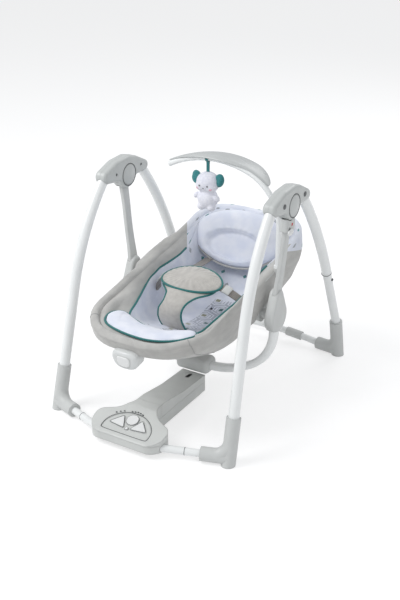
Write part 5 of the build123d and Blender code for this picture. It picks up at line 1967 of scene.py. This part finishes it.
# ---------- studio
@dataclass
class Studio:
    """Pale sweep, soft lamps and the camera, in metres."""

    eye: Point = (1.19738, -1.99347, 1.34762)
    target: Point = (-0.0134, 0.0256, 0.2483)
    lens: float = 56.94
    sensor: float = 36.0
    floor_half: float = 14.0
    floor_gap: float = 0.0006
    shade: Rgba = (0.46, 0.46, 0.465, 1.0)
    glow: float = 0.63
    air: Rgba = (0.96, 0.98, 1.0, 1.0)
    air_power: float = 0.5
    # name, place, size and power of each lamp
    lamps: tuple[tuple[str, Point, float, float], ...] = (
        ("key_lamp", (-2.0, -1.7, 3.0), 1.8, 78.0), ("fill_lamp", (2.8, -1.8, 1.9), 2.4, 18.0),
        ("back_lamp", (0.4, 2.8, 2.6), 2.2, 30.0))
    lit: Point = (0.0, 0.0, 0.3)  # where the lamps face

    def aim(self, item: bpy.types.Object, place: Point, at: Point) -> None:
        """Put a lamp or camera in its place, facing a point."""
        item.location = place
        item.rotation_euler = (Vector(at) - Vector(place)).to_track_quat("-Z", "Y").to_euler()
        bpy.context.scene.collection.objects.link(item)

    def camera(self) -> None:
        """Place the camera and make it the scene's own."""
        data = bpy.data.cameras.new("view")
        data.sensor_fit, data.sensor_width, data.sensor_height = "AUTO", self.sensor, self.sensor
        data.lens, data.clip_end = self.lens, 50.0
        camera = bpy.data.objects.new("view", data)
        self.aim(camera, self.eye, self.target)
        bpy.context.scene.camera = camera

    def floor(self) -> None:
        """Build the pale floor, which shows white to the camera and keeps the shadow."""
        g = Graph("studio_floor_paper")
        rays = g.add("LightPath").outputs
        mirrored = g.maths("MAXIMUM", rays["Is Glossy Ray"], rays["Is Transmission Ray"])
        seen = g.maths("MAXIMUM", rays["Is Camera Ray"], mirrored)
        paper = g.add("BsdfDiffuse", {"Color": linear("#EDEDED")})
        shade = g.add("BsdfDiffuse", {"Color": self.shade})
        glow = g.add("Emission", {"Color": (1.0, 1.0, 1.0, 1.0), "Strength": self.glow})
        both = g.add("AddShader", {0: shade.outputs[0], 1: glow.outputs[0]})
        mixed = g.add("MixShader", {0: seen, 1: paper.outputs[0], 2: both.outputs[0]})
        g.tree.links.new(mixed.outputs[0], g.output.inputs["Surface"])
        bm = bmesh.new()
        bmesh.ops.create_grid(bm, x_segments=2, y_segments=2, size=self.floor_half)
        mesh = bpy.data.meshes.new("studio_floor")
        bm.to_mesh(mesh)
        bm.free()
        mesh.materials.append(g.material)
        mesh.transform(Matrix.Translation((0, 0, -self.floor_gap)))
        floor = bpy.data.objects.new("studio_floor", mesh)
        bpy.context.scene.collection.objects.link(floor)

    def light(self) -> None:
        """Hang the soft square lamps, and set the even air that the camera sees as white."""
        for name, place, size, power in self.lamps:
            data = bpy.data.lights.new(name, "AREA")
            data.size, data.energy = size, power
            self.aim(bpy.data.objects.new(name, data), place, self.lit)
        world = bpy.data.worlds.new("studio_air")
        world.use_nodes = True
        tree = world.node_tree
        tree.nodes.clear()
        rays, mixed, out = (tree.nodes.new("ShaderNode" + kind) for kind in ("LightPath", "MixShader", "OutputWorld"))
        tree.links.new(rays.outputs["Is Camera Ray"], mixed.inputs[0])
        for socket, colour, power in ((1, self.air, self.air_power), (2, (1.0, 1.0, 1.0, 1.0), 1.0)):
            ground = tree.nodes.new("ShaderNodeBackground")
            ground.inputs["Color"].default_value = colour
            ground.inputs["Strength"].default_value = power
            tree.links.new(ground.outputs[0], mixed.inputs[socket])
        tree.links.new(mixed.outputs[0], out.inputs["Surface"])
        bpy.context.scene.world = world
        bpy.context.scene.view_settings.view_transform = "Standard"

    def build(self) -> None:
        """Build the studio."""
        self.camera()
        self.floor()
        self.light()


def main() -> None:
    """Dress the swing and set the studio."""
    logging.basicConfig(level=logging.INFO, format="%(name)s: %(message)s")
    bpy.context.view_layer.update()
    looks = Finishes()
    Studio().build()
    Seat(looks).build()
    ToyBar(looks).build()
    Trim(looks).build()
    Dressing(looks).build()


if __name__ == "__main__":
    main()
